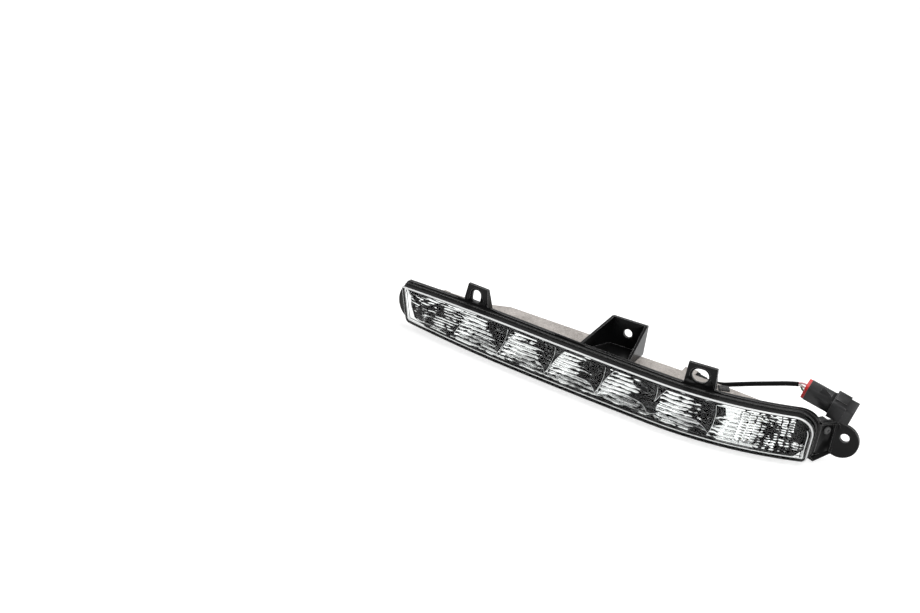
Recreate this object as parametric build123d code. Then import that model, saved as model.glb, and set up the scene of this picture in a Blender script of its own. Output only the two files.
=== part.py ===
from build123d import *
from math import cos, pi, radians, sin, sqrt, tan
import os

# Daytime running lamp for the right-hand side of a front bumper, in millimetres.
# While it is drawn, X runs outboard, Y runs back into the bumper and Z up, from the middle of
# the lens front. The finished pieces are then moved so that the origin is the middle of the
# fixing hole in the centre bracket.

# Plan of the lens front: a long bow, and a tighter wrap tangent to it at the outboard end
BOW_RADIUS = 2760.0
WRAP_RADIUS = 216.0
WRAP_START = 60.0
WRAP_DIRECTION = -3.95

# Front view of the lens
LENS_LEFT = -175.5
LENS_RIGHT = 176.5
LENS_TOP = 18.0
LENS_BOTTOM = -18.2
TAPER_START = -60.0
LEFT_TOP_DROP = 3.6
LEFT_BOTTOM_RISE = 2.9
LEFT_SLANT = 8.5
RIGHT_DROP = 0.4
CORNER_TOP_LEFT = 1.6
CORNER_BOTTOM_LEFT = 5.0
CORNER_TOP_RIGHT = 15.0
CORNER_BOTTOM_RIGHT = 3.5

# Lens shell
LENS_WALL = 2.4
LENS_DEPTH = 10.2
LENS_EDGE = 1.0

# Fits
FIT = 0.2
SCREW_FIT = 0.15

# Carrier frame: a rim with a groove for the lens skirt, and a back plate with a window
RIM_FRONT = 7.5
RIM_STEP = 10.9
RIM_BACK = 14.5
RIM_PROUD = 1.0
RIM_STEP_PROUD = 1.8
CHEEK_MIDDLE = (-164.1, 0.2)
CHEEK_RADIUS = 17.1
CHEEK_END = -168.0
CHEEK_FRONT = 8.6
GROOVE_LAND = 1.2
BACK_PLATE = 3.0
SEAL_THICKNESS = 0.8
WINDOW_LEFT = -156.0
WINDOW_RIGHT = 161.8
WINDOW_TOP = 12.5
WINDOW_CORNER = 3.0

# Rear housing
HOUSING_TOP = 12.8
HOUSING_BOTTOM = -17.2
HOUSING_WALL = 2.0
HOUSING_EDGE = 0.8
HOUSING_BACK = [(-166, 44.5), (-150, 48.4), (-106.6, 48.8), (-88, 58.2), (-12, 55.0), (8, 46.6),
                (75, 44.2), (106, 41.0), (131, 37.6), (166, 37.6)]

# Reflector: a trough with a steep bezel above and a leaning fascia below, and six scoops
REFLECTOR_WALL = 1.6
REFLECTOR_LIP = 5.0
REFLECTOR_RIGHT = 162.8
LIP_THICKNESS = 1.3
LIP_GAP = 0.5
TROUGH_TOP = (5.0, 12.6)
BEZEL_BREAK = (13.0, 9.0)
TROUGH_APEX = (22.4, 6.2)
FASCIA_TOP = (22.4, 5.2)
FASCIA_FOOT = (7.0, -10.6)
TROUGH_FOOT = (6.0, -14.0)
LEFT_RAMP = (-168.0, -118.0)
RIGHT_RAMP = (161.5, 106.0)
AIM = 12.0
SCOOP_PITCH = 45.0
FIRST_SCOOP = -97.5
SCOOP_FOCUS = 7.5
SCOOP_DEPTH = 32.4
WIDE_SCOOP_SPACING = 47.5
WIDE_SCOOP_FOCUS = 8.6
END_SCOOP_SPACING = 51.0
END_SCOOP_FOCUS = 6.0
END_SCOOP_DEPTH = 25.4
SHELL_SPREAD = 1.04

# Light-emitting diodes, their board, its pad and the heat spreader
LED_SIZE = 3.0
LED_HEIGHT = 0.7
LED_DOME = 1.2
LED_WINDOW = 4.6
BOARD_HEIGHT = 8.4
BOARD_THICKNESS = 1.0
BOARD_DEPTHS = (21.6, 32.4)
BOARD_LEFT = -99.0
BOARD_STEP = 116.0
BOARD_RIGHT = 147.0
TONGUE_LEFT = 104.0
TONGUE_BACK = 33.6
TONGUE_GAP = 0.3
BOARD_POSTS = [-70.0, 21.0, 112.0]
POST_DEPTH = 25.4
POST_LOW = -3.0
PAD_THICKNESS = 0.3
PAD_MARGIN = 0.8
SPREADER_THICKNESS = 0.9
LEG_SPAN = (10.0, 58.0)
LEG_DEPTH = 35.8
LEG_BOTTOM = -8.0
FIN_DEPTH = 3.2
FIN_THICKNESS = 1.0
FIN_COUNT = 9

# Driver board on the back wall
DRIVER_SPAN = (-72.0, -16.0)
DRIVER_HEIGHTS = (-12.0, 7.0)
DRIVER_FACE = 50.0
DRIVER_THICKNESS = 1.6
DRIVER_POSTS = [(-67.0, -8.0), (-67.0, 3.0), (-20.0, 3.0)]
POST_DIAMETER = 5.4

# Centre bracket, moulded with the frame
BRACKET_LEFT = 3.2
BRACKET_WIDTH = 29.0
BRACKET_FACE = 47.0
BRACKET_TOP = 37.8
BRACKET_PLATE = 2.5
BRACKET_FLOOR = 2.0
BRACKET_HOLE = 7.0
BRACKET_HOLE_X = 17.5
BRACKET_HOLE_Z = 27.0
GUSSET = 2.2
GUSSET_FLARE = 13.8
GUSSET_FRONT = 19.0
GUSSET_FOOT = 19.6

# Clip towers on the rim: middle, width below and above, top
TOWER_DEPTH = 7.4
TOWER_PLATE = 2.6
TOWER_WALL = 1.9
TOWER_FOOT = 16.6
LEFT_TOWER = (-107.4, 24.2, 18.8, 33.8)
RIGHT_TOWER = (89.2, 24.4, 22.2, 36.3)
LEFT_SLOT = (-0.9, 24.4, 8.2, 11.2)
RIGHT_SLOT = (-0.8, 27.2, 12.8, 10.6)
SLOT_RELIEF = 1.6
RELIEF_DEPTH = 1.0

# End bracket
NECK_START = (178.8, 36.4)
NECK_END = (188.0, 51.6)
NECK_RECESS = 2.7
NECK_WALL = 2.2
NECK_TOP = (11.0, 9.2)
NECK_BOTTOM = (-21.4, -17.8)
FLANGE_THICKNESS = 1.9
EAR_ROOT = 3.6
EAR_CENTRE = (192.7, -5.5)
EAR_RADIUS = 13.5
EAR_THICKNESS = 3.0
EAR_HOLE = 7.0
EAR_HOLE_AT = (195.0, -2.3)
CREASE_RIB = 1.5
PILLAR_LEFT = 168.5
PILLAR_HEIGHTS = (-7.0, 8.0)
NECK_SCREW_ALONG = 9.6
NECK_SCREW_Z = 2.3

# Cable outlet, strain relief and cable
OUTLET_RIGHT = 77.0
OUTLET_LENGTH = 10.6
OUTLET_Y = 49.6
OUTLET_Z = 8.2
OUTLET_SIZE = 9.0
OUTLET_BORE = 6.4
CHANNEL_DIAMETER = 4.6
CHANNEL_MARGIN = 0.4
GROMMET_COLLAR = 2.4
GROMMET_TAIL = 6.0
CABLE_DIAMETER = 3.6
CABLE_START = (OUTLET_RIGHT + GROMMET_COLLAR + GROMMET_TAIL, OUTLET_Y, OUTLET_Z)
CABLE_ROUTE = [CABLE_START, (95.6, OUTLET_Y, OUTLET_Z), (106.5, 49.2, 12.7), (121.5, 48.3, 18.9),
               (136.0, 47.9, 24.3), (146.5, 48.3, 28.0), (153.2, 49.4, 29.3)]
WIRE_DIAMETER = 1.55
WIRE_PITCH = 4.0
LEAD_DIAMETER = 1.3
LEAD_PITCH = 1.7
CHANNEL_X = OUTLET_RIGHT - OUTLET_LENGTH + HOUSING_WALL + CHANNEL_MARGIN + CHANNEL_DIAMETER / 2
SUPPLY_ROUTE = [(CHANNEL_X, OUTLET_Y - 3.6, OUTLET_Z), (CHANNEL_X, 41.0, OUTLET_Z - 0.3),
                (64.0, 40.4, -2.0), (54.0, 41.2, -10.6), (34.0, 42.0, -11.4), (14.0, 42.4, -11.6),
                (-4.0, 44.0, -11.0), (-18.4, 45.6, -9.6), (-18.4, DRIVER_FACE, -9.6)]
BOARD_ROUTE = [(-26.0, DRIVER_FACE, 4.4), (-26.0, 46.2, 4.4), (-26.0, 41.6, 3.4), (-26.0, 38.8, 5.0),
               (-26.0, 38.8, 8.4)]

# Breather cap on the housing's top: middle, size, turn and bore
VENT_MIDDLE = (102.6, 35.5)
VENT_SIZE = (8.8, 8.0, 1.2)
VENT_TURN = 24.0
VENT_BORE = 4.0

# Connector: rear end, pitch and roll, then lengths and sections along its axis
CONNECTOR_REAR = (160.6, 50.7, 26.9)
CONNECTOR_PITCH = 12.9
CONNECTOR_ROLL = 28.0
BODY_LENGTH = 20.0
BODY_SECTION = (12.0, 15.6)
SLEEVE_LENGTH = 10.6
SLEEVE_SECTION = (15.0, 18.6)
NOSE_LENGTH = 6.6
NOSE_SECTION = (12.6, 16.4)
CORE_SECTION = (11.2, 14.8)
MOUTH_SECTION = (8.2, 12.0)
MOUTH_DEPTH = 13.0
BODY_CHAMFER = 2.2
SEAL_PROUD = 2.4
SEAL_MARGIN = 0.5
TERMINAL_SIZE = (1.0, 1.6)

# Screws: diameter, head diameter, head height
NECK_SCREW = (4.0, 6.2, 2.0)
SMALL_SCREW = (2.5, 4.4, 1.6)
BOARD_SCREW = (2.0, 3.4, 1.0)
SCREW_BITE = 3.1
TAB_THICKNESS = 2.4
TAB_RADIUS = 2.9
TOP_TABS = [-138.0, -72.0, 56.0, 130.0]
BOTTOM_TABS = [-142.0, -50.0, 45.0, 138.0]
BOSS_DIAMETER = 5.6
LEFT_BOSS = (-160.0, -1.0)
RIGHT_TAB = (168.6, -10.0)

# Directions that the whole lamp is drawn from
heading = radians(WRAP_DIRECTION)
along = Vector(cos(heading), sin(heading), 0)
inward = Vector(-sin(heading), cos(heading), 0)
seam_point = Vector(WRAP_START, 0, 0)
bow_centre = seam_point + inward * BOW_RADIUS
wrap_centre = seam_point + inward * WRAP_RADIUS
aim_back = Vector(sin(radians(AIM)), cos(radians(AIM)), 0)


def plan_y(x, depth=0.0):
    """Y of the surface that lies the given depth behind the lens front, at x."""
    seam = seam_point + inward * depth
    centre, radius = (bow_centre, BOW_RADIUS) if x < seam.X else (wrap_centre, WRAP_RADIUS)
    return centre.Y - sqrt((radius - depth) ** 2 - (x - centre.X) ** 2)


def plan_angle(x):
    """Direction of the lens front in plan at x, in degrees from X."""
    step = 0.5
    rise = plan_y(x + step) - plan_y(x - step)
    return Vector(1, 0, 0).get_signed_angle(Vector(2 * step, rise, 0), Vector(0, 0, 1))


def follow_plan(section):
    """Carry a section, drawn as depth and height, along the bow and the wrap."""
    placed = Plane(origin=seam_point, x_dir=inward, z_dir=along) * section
    bow = revolve(placed, Axis(bow_centre, (0, 0, -1)), 5.7)
    wrap = revolve(placed, Axis(wrap_centre, (0, 0, 1)), 42.0)
    return bow + wrap


def band(front, back, low=-45.0, high=60.0):
    """Everything between two depths behind the lens front."""
    return follow_plan(Pos((front + back) / 2, (low + high) / 2) * Rectangle(back - front, high - low))


def upright(sketch, near=-60.0, far=90.0):
    """Carry a front-view outline through the depth of the lamp."""
    return extrude(Plane.XZ.offset(-far) * sketch, far - near)


def front_window(left, right, low, high, corner):
    """Front-view rectangle with rounded corners."""
    return Pos((left + right) / 2, (low + high) / 2) * RectangleRounded(right - left, high - low, corner)


def slab(points, low, high):
    """Carry a plan outline from one height to another."""
    return extrude(Pos(0, 0, low) * make_face(Polyline(*points, close=True)), high - low)


def block(x, y, z):
    """Box between two values on each axis."""
    size = [high - low for low, high in (x, y, z)]
    middle = [(low + high) / 2 for low, high in (x, y, z)]
    return Pos(*middle) * Box(*size)


def rod(start, end, diameter):
    """Round bar from one point to another."""
    axis = Vector(*end) - Vector(*start)
    return extrude(Plane(origin=start, z_dir=axis) * Circle(diameter / 2), axis.length)


def tube_path(points, diameter, share=0.45):
    """Round tube along straight runs joined by the largest arcs that the runs allow."""
    spots = [Vector(*point) for point in points]
    radii = []
    for before, here, after in zip(spots, spots[1:], spots[2:]):
        turn = radians((here - before).get_angle(after - here))
        radii.append(share * min((here - before).length, (after - here).length) / tan(turn / 2))
    path = FilletPolyline(*spots, radius=radii)
    section = Plane(origin=spots[0], z_dir=spots[1] - spots[0]) * Circle(diameter / 2)
    return sweep(section, path), radii, path.length


def screw(size, length, location):
    """Pan-head screw with a cross recess; its axis leaves the head along local -Z."""
    diameter, head, height = size
    dome = Pos(0, 0, height / 2) * Cylinder(head / 2, height)
    dome = fillet(dome.edges().group_by(Axis.Z)[-1], height * 0.6)
    arm = head * 0.62
    cross = Box(arm, 0.8, height) + Box(0.8, arm, height)
    shank = Pos(0, 0, -length / 2) * Cylinder(diameter / 2, length)
    return location * (dome - Pos(0, 0, height) * cross + shank)


def facing_back(x, depth, z):
    """Place at a depth behind the lens front whose local Z points back, square to the plan."""
    turn = radians(plan_angle(x))
    return Plane(origin=(x, plan_y(x, depth), z), x_dir=(cos(turn), sin(turn), 0),
                 z_dir=(-sin(turn), cos(turn), 0)).location


def drill(place, diameter, low, high):
    """Round bar along the local Z of a place, between two heights."""
    return place * Pos(0, 0, (low + high) / 2) * Cylinder(diameter / 2, high - low)


def lens_outline():
    """Front view of the lens: tapered and slanted inboard, rounded outboard."""
    left_top = (LENS_LEFT, LENS_TOP - LEFT_TOP_DROP)
    left_bottom = (LENS_LEFT + LEFT_SLANT, LENS_BOTTOM + LEFT_BOTTOM_RISE)
    right_top = (LENS_RIGHT, LENS_TOP - RIGHT_DROP)
    right_bottom = (LENS_RIGHT - 2 * RIGHT_DROP, LENS_BOTTOM - RIGHT_DROP)
    top_start = (TAPER_START, LENS_TOP)
    bottom_start = (TAPER_START, LENS_BOTTOM)
    face = make_face(Curve() + [
        TangentArc(top_start, left_top, tangent=(-1, 0)),
        Line(top_start, right_top),
        Line(right_top, right_bottom),
        Line(right_bottom, bottom_start),
        TangentArc(bottom_start, left_bottom, tangent=(-1, 0)),
        Line(left_bottom, left_top),
    ])
    corners = [(left_top, CORNER_TOP_LEFT), (left_bottom, CORNER_BOTTOM_LEFT),
               (right_top, CORNER_TOP_RIGHT), (right_bottom, CORNER_BOTTOM_RIGHT)]
    for (x, z), radius in corners:
        face = fillet(face.vertices().sort_by_distance((x, z, 0))[0], radius)
    return face


outline = lens_outline()


def inset(amount):
    """The lens outline moved in by an amount, or out if it is negative."""
    return offset(outline, -amount, kind=Kind.INTERSECTION)


def ring(outer, inner, front, back):
    """Part of the depth between two insets of the lens outline."""
    return (upright(inset(outer)) - upright(inset(inner))) & band(front, back)


def lens():
    """Clear shell: a bowed front with a skirt that stands in the rim's groove."""
    outer = upright(outline) & band(0, LENS_DEPTH)
    front = outer.faces().filter_by(lambda face: face.normal_at(face.center()).Y < -0.8)
    rim = [edge for edge in front.edges() if abs(edge.tangent_at(0.5).Z) < 0.99 or edge.length < 30]
    outer = chamfer(rim, LENS_EDGE)
    return outer - (upright(inset(LENS_WALL)) & band(LENS_WALL, LENS_DEPTH + 5))


def lens_seal():
    """Bead of sealant at the bottom of the groove."""
    return ring(0, LENS_WALL, LENS_DEPTH, LENS_DEPTH + SEAL_THICKNESS)


def tower(middle, foot, top_width, top, slot):
    """Hollow clip tower on the rim: a slotted face between flanks that widen towards the foot."""
    half_foot, half_top = foot / 2, top_width / 2
    shift, slot_z, slot_width, slot_height = slot
    face = make_face(Polyline((-half_foot, TOWER_FOOT), (half_foot, TOWER_FOOT),
                              (half_top, top), (-half_top, top), close=True))
    inner = offset(face, -TOWER_WALL, kind=Kind.INTERSECTION)
    long_side, short_side = max(slot_width, slot_height), min(slot_width, slot_height)
    turn = 0 if slot_width > slot_height else 90
    hole = Pos(shift, slot_z) * Rot(0, 0, turn) * SlotOverall(long_side, short_side)
    relief = offset(hole, SLOT_RELIEF)
    body = upright(face, 0, TOWER_DEPTH) - upright(inner, TOWER_PLATE, TOWER_DEPTH + 1)
    side = make_face(Polyline((0, TOWER_FOOT - 1), (TOWER_DEPTH, TOWER_FOOT - 1), (TOWER_DEPTH, TOWER_FOOT),
                              (TOWER_PLATE, top), (0, top), close=True))
    body &= extrude(Plane.YZ * side, foot, both=True)
    body -= upright(hole, -1, TOWER_PLATE + 1)
    body -= upright(relief, -1, RELIEF_DEPTH) & upright(inner, -1, RELIEF_DEPTH)
    seat = Pos(middle, plan_y(middle, RIM_BACK - 1.6), 0) * Rot(0, 0, plan_angle(middle))
    return seat * body


def centre_bracket():
    """Upright plate with a fixing hole, a floor over the housing and two gussets."""
    right = BRACKET_LEFT + BRACKET_WIDTH
    back = BRACKET_FACE + BRACKET_PLATE
    front_left = BRACKET_LEFT - GUSSET_FLARE
    low = HOUSING_TOP + FIT
    floor = slab([(front_left, plan_y(front_left, RIM_BACK - 1)), (BRACKET_LEFT, back), (right, back),
                  (right, plan_y(right, RIM_BACK - 1))], low, low + BRACKET_FLOOR)
    plate = block((BRACKET_LEFT, right), (BRACKET_FACE, back), (low, BRACKET_TOP))
    profile = [(BRACKET_FACE, BRACKET_TOP), (back, BRACKET_TOP), (back, low),
               (plan_y(right, RIM_BACK - 1), low), (plan_y(right, RIM_BACK - 1), GUSSET_FOOT),
               (GUSSET_FRONT, GUSSET_FOOT)]
    side = make_face(Polyline(*profile, close=True))
    right_gusset = extrude(Plane(origin=(right, 0, 0), x_dir=(0, 1, 0), z_dir=(-1, 0, 0))
                           * mirror(side, Plane.XZ), GUSSET)
    reach = Vector(front_left, GUSSET_FRONT, 0) - Vector(BRACKET_LEFT, back, 0)
    slant = make_face(Polyline((0, low), (0, BRACKET_TOP), (BRACKET_PLATE, BRACKET_TOP),
                               (reach.length, GUSSET_FOOT), (reach.length, low), close=True))
    frame_plane = Plane(origin=(BRACKET_LEFT, back, 0), x_dir=reach, z_dir=reach.cross(Vector(0, 0, 1)))
    left_gusset = extrude(frame_plane * slant, -GUSSET)
    hole = rod((BRACKET_HOLE_X, BRACKET_FACE - 1, BRACKET_HOLE_Z),
               (BRACKET_HOLE_X, back + 1, BRACKET_HOLE_Z), BRACKET_HOLE)
    return floor + plate + right_gusset + left_gusset - hole


neck_run = Vector(*NECK_END) - Vector(*NECK_START)
neck_plane = Plane(origin=(*NECK_START, 0), x_dir=neck_run, z_dir=(0, 0, 1))
neck_screw_place = neck_plane.location * Plane(
    origin=(NECK_SCREW_ALONG, NECK_RECESS, NECK_SCREW_Z), x_dir=(1, 0, 0), z_dir=(0, -1, 0)).location


def neck_point(run, depth):
    """Plan point given by its run along the neck and its depth behind the neck's outer line."""
    spot = neck_plane.from_local_coords((run, depth, 0))
    return (spot.X, spot.Y)


def pillar():
    """Boss behind the rim's outboard end that the end bracket is screwed to."""
    seat = NECK_RECESS + NECK_WALL
    low, high = PILLAR_HEIGHTS
    root = RIM_BACK - 1
    outer = 173.2
    return slab([(PILLAR_LEFT, plan_y(PILLAR_LEFT, root)), (outer, plan_y(outer, root)),
                 neck_point(4.0, seat), neck_point(14.0, seat), neck_point(14.0, seat + 8.0),
                 (PILLAR_LEFT, 44.0)], low, high)


def tab_places(depth=RIM_BACK):
    """Screw places of the housing's tabs, top row then bottom row."""
    clearance = SMALL_SCREW[1] / 2 + FIT
    top = [facing_back(x, depth, HOUSING_TOP + clearance) for x in TOP_TABS]
    return top, [facing_back(x, depth, HOUSING_BOTTOM - clearance) for x in BOTTOM_TABS]


def reflector_screw_places():
    """Back-plate screws that hold the reflector, at its boss and at its tab."""
    return [facing_back(x, RIM_BACK, z) for x, z in (LEFT_BOSS, RIGHT_TAB)]


def cheek():
    """Round bulge of the rim at its inboard end."""
    disc = upright(Pos(*CHEEK_MIDDLE) * Circle(CHEEK_RADIUS)) - upright(inset(2 * FIT - RIM_PROUD))
    return disc & band(CHEEK_FRONT, RIM_BACK) & block((-300, CHEEK_END), (-60, 90), (-40, 60))


def carrier_frame():
    """Black frame: rim, back plate, clip towers, centre bracket and pillar in one moulding."""
    land = LENS_WALL + FIT + GROOVE_LAND
    body = upright(inset(-RIM_PROUD)) & band(RIM_FRONT, RIM_STEP)
    body += upright(inset(-RIM_STEP_PROUD)) & band(RIM_STEP, RIM_BACK)
    body -= upright(inset(land)) & band(0, RIM_BACK - BACK_PLATE)
    body -= ring(-FIT, LENS_WALL + FIT, 0, LENS_DEPTH + SEAL_THICKNESS)
    window = front_window(WINDOW_LEFT, WINDOW_RIGHT, HOUSING_BOTTOM + HOUSING_WALL, WINDOW_TOP, WINDOW_CORNER)
    body -= upright(window)
    body += tower(*LEFT_TOWER, LEFT_SLOT) + tower(*RIGHT_TOWER, RIGHT_SLOT)
    body += centre_bracket() + pillar()
    top_places, bottom_places = tab_places()
    for place in bottom_places:
        body += drill(place, 2 * TAB_RADIUS, -BACK_PLATE, 0)
    for place in top_places + bottom_places:
        body -= drill(place, SMALL_SCREW[0] + SCREW_FIT, -SCREW_BITE, 1)
    for place in reflector_screw_places():
        body -= drill(place, SMALL_SCREW[0] + SCREW_FIT, -BACK_PLATE - 1, 1)
    hole = neck_screw_place * Pos(0, 0, -6) * Cylinder(NECK_SCREW[0] / 2 + SCREW_FIT / 2, 12)
    return body - hole + cheek()


def end_bracket():
    """Outboard bracket: a channel-shaped neck and a round ear with a fixing hole."""
    run = neck_run.length
    panel = block((0, run), (NECK_RECESS, NECK_RECESS + NECK_WALL), (NECK_BOTTOM[1], NECK_TOP[1]))
    top = make_face(Polyline((0, NECK_TOP[0]), (run, NECK_TOP[1]), (run, NECK_TOP[1] - FLANGE_THICKNESS),
                             (0, NECK_TOP[0] - FLANGE_THICKNESS), close=True))
    bottom = make_face(Polyline((0, NECK_BOTTOM[0]), (run, NECK_BOTTOM[1]),
                                (run, NECK_BOTTOM[1] + FLANGE_THICKNESS),
                                (0, NECK_BOTTOM[0] + FLANGE_THICKNESS), close=True))
    flanges = upright(top, 0, NECK_RECESS + NECK_WALL) + upright(bottom, 0, NECK_RECESS + NECK_WALL)
    neck = neck_plane.location * (panel + flanges)
    ear_face = NECK_END[1]
    root = NECK_END[0] - EAR_ROOT
    middle, height = EAR_CENTRE
    ear = make_face(Polyline((root, NECK_BOTTOM[1]), (root, NECK_TOP[1]), (NECK_END[0], NECK_TOP[1]),
                             (middle, height + EAR_RADIUS), (middle, height),
                             (middle - 0.4 * EAR_RADIUS, NECK_BOTTOM[1]), close=True))
    ear = ear + Pos(middle, height) * Circle(EAR_RADIUS)
    ear = ear & (Pos(root + 2 * EAR_RADIUS, 0) * Rectangle(4 * EAR_RADIUS, 80))
    plate = upright(ear, ear_face, ear_face + EAR_THICKNESS)
    crease = block((NECK_END[0] - CREASE_RIB, NECK_END[0]), (ear_face - 1.0, ear_face + EAR_THICKNESS),
                   (NECK_BOTTOM[1], NECK_TOP[1]))
    hole_x, hole_z = EAR_HOLE_AT
    hole = rod((hole_x, ear_face - 5, hole_z), (hole_x, ear_face + 10, hole_z), EAR_HOLE)
    rim = upright(inset(-RIM_STEP_PROUD - FIT)) & band(0, RIM_BACK + FIT)
    screw_hole = neck_screw_place * Cylinder(NECK_SCREW[0] / 2 + SCREW_FIT, 12)
    return neck + plate + crease - hole - rim - screw_hole


def ramp_plan(grow):
    """Plan outline of the trough, shallow at both ends, grown by an amount."""
    left_start, left_end = LEFT_RAMP
    right_start, right_end = RIGHT_RAMP
    shallow, deep = REFLECTOR_LIP, TROUGH_APEX[0] + 1.5
    return [(left_start - grow, -60), (left_start - grow, plan_y(left_start, shallow) + grow),
            (left_end - grow, plan_y(left_end, deep) + grow),
            (right_end + grow, plan_y(right_end, deep) + grow),
            (right_start + grow, plan_y(right_start, shallow) + grow), (right_start + grow, -60)]


def trough(grow):
    """Space in front of the bezel and the fascia, grown by an amount."""
    section = make_face(Polyline((-12, 30), (TROUGH_TOP[0], 30), TROUGH_TOP, BEZEL_BREAK, TROUGH_APEX,
                                 FASCIA_TOP, FASCIA_FOOT, TROUGH_FOOT, (-12, TROUGH_FOOT[1]), close=True))
    if grow:
        section = offset(section, grow, kind=Kind.INTERSECTION)
    return follow_plan(section) & slab(ramp_plan(grow), -40, 60)


def scoop_list():
    """Middle, focal length and depth of each scoop, inboard to outboard."""
    rows = [(FIRST_SCOOP + SCOOP_PITCH * index, SCOOP_FOCUS, SCOOP_DEPTH) for index in range(4)]
    wide = rows[-1][0] + WIDE_SCOOP_SPACING
    rows.append((wide, WIDE_SCOOP_FOCUS, SCOOP_DEPTH))
    rows.append((wide + END_SCOOP_SPACING, END_SCOOP_FOCUS, END_SCOOP_DEPTH))
    return rows


def scoop_vertex(x, depth):
    """Deepest point of a scoop whose front stands at x on the fascia's foot."""
    start = Vector(x, plan_y(x, FASCIA_FOOT[0]), TROUGH_APEX[1])
    return start + aim_back * (depth - FASCIA_FOOT[0])


def led_centre(x, focus, depth):
    return scoop_vertex(x, depth) - aim_back * focus


def paraboloid(x, focus, depth, grow):
    """Half paraboloid that opens forwards, grown by an amount."""
    reach = 36.0
    wide = 4 * focus * (SHELL_SPREAD if grow else 1.0)
    rim = sqrt(wide * reach)
    profile = make_face(Curve() + [Bezier((0, 0), (rim / 2, 0), (rim, reach)),
                                   Line((rim, reach), (0, reach)), Line((0, reach), (0, 0))])
    solid = revolve(Plane.XZ * profile, Axis.Z, 360)
    vertex = scoop_vertex(x, depth) + aim_back * grow
    place = Plane(origin=vertex, x_dir=(aim_back.Y, -aim_back.X, 0), z_dir=-aim_back)
    return place.location * solid


def reflector():
    """Metallised reflector: trough, scoops and front border in one thin shell."""
    border = LENS_WALL + FIT + GROOVE_LAND + 0.3
    inside = upright(inset(border + REFLECTOR_WALL)) & block((-300, REFLECTOR_RIGHT - REFLECTOR_WALL),
                                                             (-60, 90), (-40, 60))
    outside = upright(inset(border)) & block((-300, REFLECTOR_RIGHT), (-60, 90), (-40, 60))
    roof = TROUGH_APEX[1]
    floor_low = HOUSING_BOTTOM + HOUSING_WALL + 0.3
    hollow, shell = trough(0), trough(REFLECTOR_WALL)
    for x, focus, depth in scoop_list():
        hollow += paraboloid(x, focus, depth, 0) & block((-200, 200), (-60, 90), (-40, roof))
        shell += paraboloid(x, focus, depth, REFLECTOR_WALL) & block(
            (-200, 200), (-60, 90), (floor_low, roof + REFLECTOR_WALL))
    body = (shell & outside) & band(REFLECTOR_LIP, SCOOP_DEPTH + 6)
    body += (upright(inset(LENS_WALL + LIP_GAP)) & block((-300, REFLECTOR_RIGHT), (-60, 90), (-40, 60))
             & band(REFLECTOR_LIP, REFLECTOR_LIP + LIP_THICKNESS))
    plate = RIM_BACK - BACK_PLATE
    for x in BOARD_POSTS:
        y = plan_y(x, POST_DEPTH)
        body += rod((x, y, POST_LOW), (x, y, BOARD_HEIGHT), BOSS_DIAMETER)
        body += block((x - 1, x + 1), (y - 4.5, y), (POST_LOW, roof))
    boss_x, boss_z = LEFT_BOSS
    body += rod((boss_x, plan_y(boss_x, RIM_FRONT), boss_z), (boss_x, plan_y(boss_x, RIM_BACK), boss_z),
                BOSS_DIAMETER) & band(REFLECTOR_LIP, plate)
    tab_x, tab_z = RIGHT_TAB
    tab = block((REFLECTOR_RIGHT - 6, tab_x + 2.6), (-60, 90), (tab_z - 3.2, tab_z + 3.2))
    body += tab & band(plate - 2.6, plate)
    body += tab & block((-300, REFLECTOR_RIGHT), (-60, 90), (-40, 60)) & band(REFLECTOR_LIP, plate)
    body -= hollow & inside
    for x, focus, depth in scoop_list():
        body -= led_window(x, focus, depth)
    for x in BOARD_POSTS:
        y = plan_y(x, POST_DEPTH)
        body -= rod((x, y, BOARD_HEIGHT - 5), (x, y, BOARD_HEIGHT + 1), BOARD_SCREW[0] + SCREW_FIT)
    for place in reflector_screw_places():
        body -= drill(place, SMALL_SCREW[0] + SCREW_FIT, -BACK_PLATE - 2.6, 0)
    return body


def led_window(x, focus, depth):
    """Square opening in a scoop's roof for its diode."""
    spot = led_centre(x, focus, depth)
    return Pos(spot.X, spot.Y, TROUGH_APEX[1] + 1) * Rot(0, 0, -AIM) * Box(LED_WINDOW, LED_WINDOW, 5)


def board_plan(margin):
    """Plan of the diode board: a strip over the scoops and a tongue behind the outboard ramp."""
    front, back = BOARD_DEPTHS
    line = ramp_plan(REFLECTOR_WALL + TONGUE_GAP)
    ramp_in, ramp_out = Vector(*line[3]), Vector(*line[4])
    slope = (ramp_out.Y - ramp_in.Y) / (ramp_out.X - ramp_in.X)
    near = [(x, ramp_in.Y + slope * (x - ramp_in.X)) for x in (TONGUE_LEFT, BOARD_RIGHT - margin)]
    low, high = BOARD_HEIGHT - 5, BOARD_HEIGHT + 5
    strip = band(front + margin, back - margin) & block((BOARD_LEFT + margin, BOARD_STEP - margin),
                                                        (-60, 90), (low, high))
    tongue = slab([(x, y + margin) for x, y in near]
                  + [(BOARD_RIGHT - margin, TONGUE_BACK - margin), (TONGUE_LEFT, TONGUE_BACK - margin)],
                  low, high)
    return strip + tongue


def board_screw_places(height):
    return [(x, plan_y(x, POST_DEPTH), height) for x in BOARD_POSTS]


def level(shape, low, high):
    """Part of a shape between two heights."""
    return shape & block((-300, 300), (-100, 150), (low, high))


def led_board():
    """Metal-core board that carries the diodes, lying on the reflector's posts."""
    body = level(board_plan(0), BOARD_HEIGHT, BOARD_HEIGHT + BOARD_THICKNESS)
    for x, y, z in board_screw_places(BOARD_HEIGHT):
        body -= rod((x, y, z - 1), (x, y, z + 2), BOARD_SCREW[0] + 2 * SCREW_FIT)
    return body


def clear_of_screws(body, low, high):
    """Cut round notches for the board screws' heads."""
    for x, y, z in board_screw_places(low):
        body -= rod((x, y, z - 1), (x, y, high + 1), BOARD_SCREW[1] + 2.0)
    return body


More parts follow.
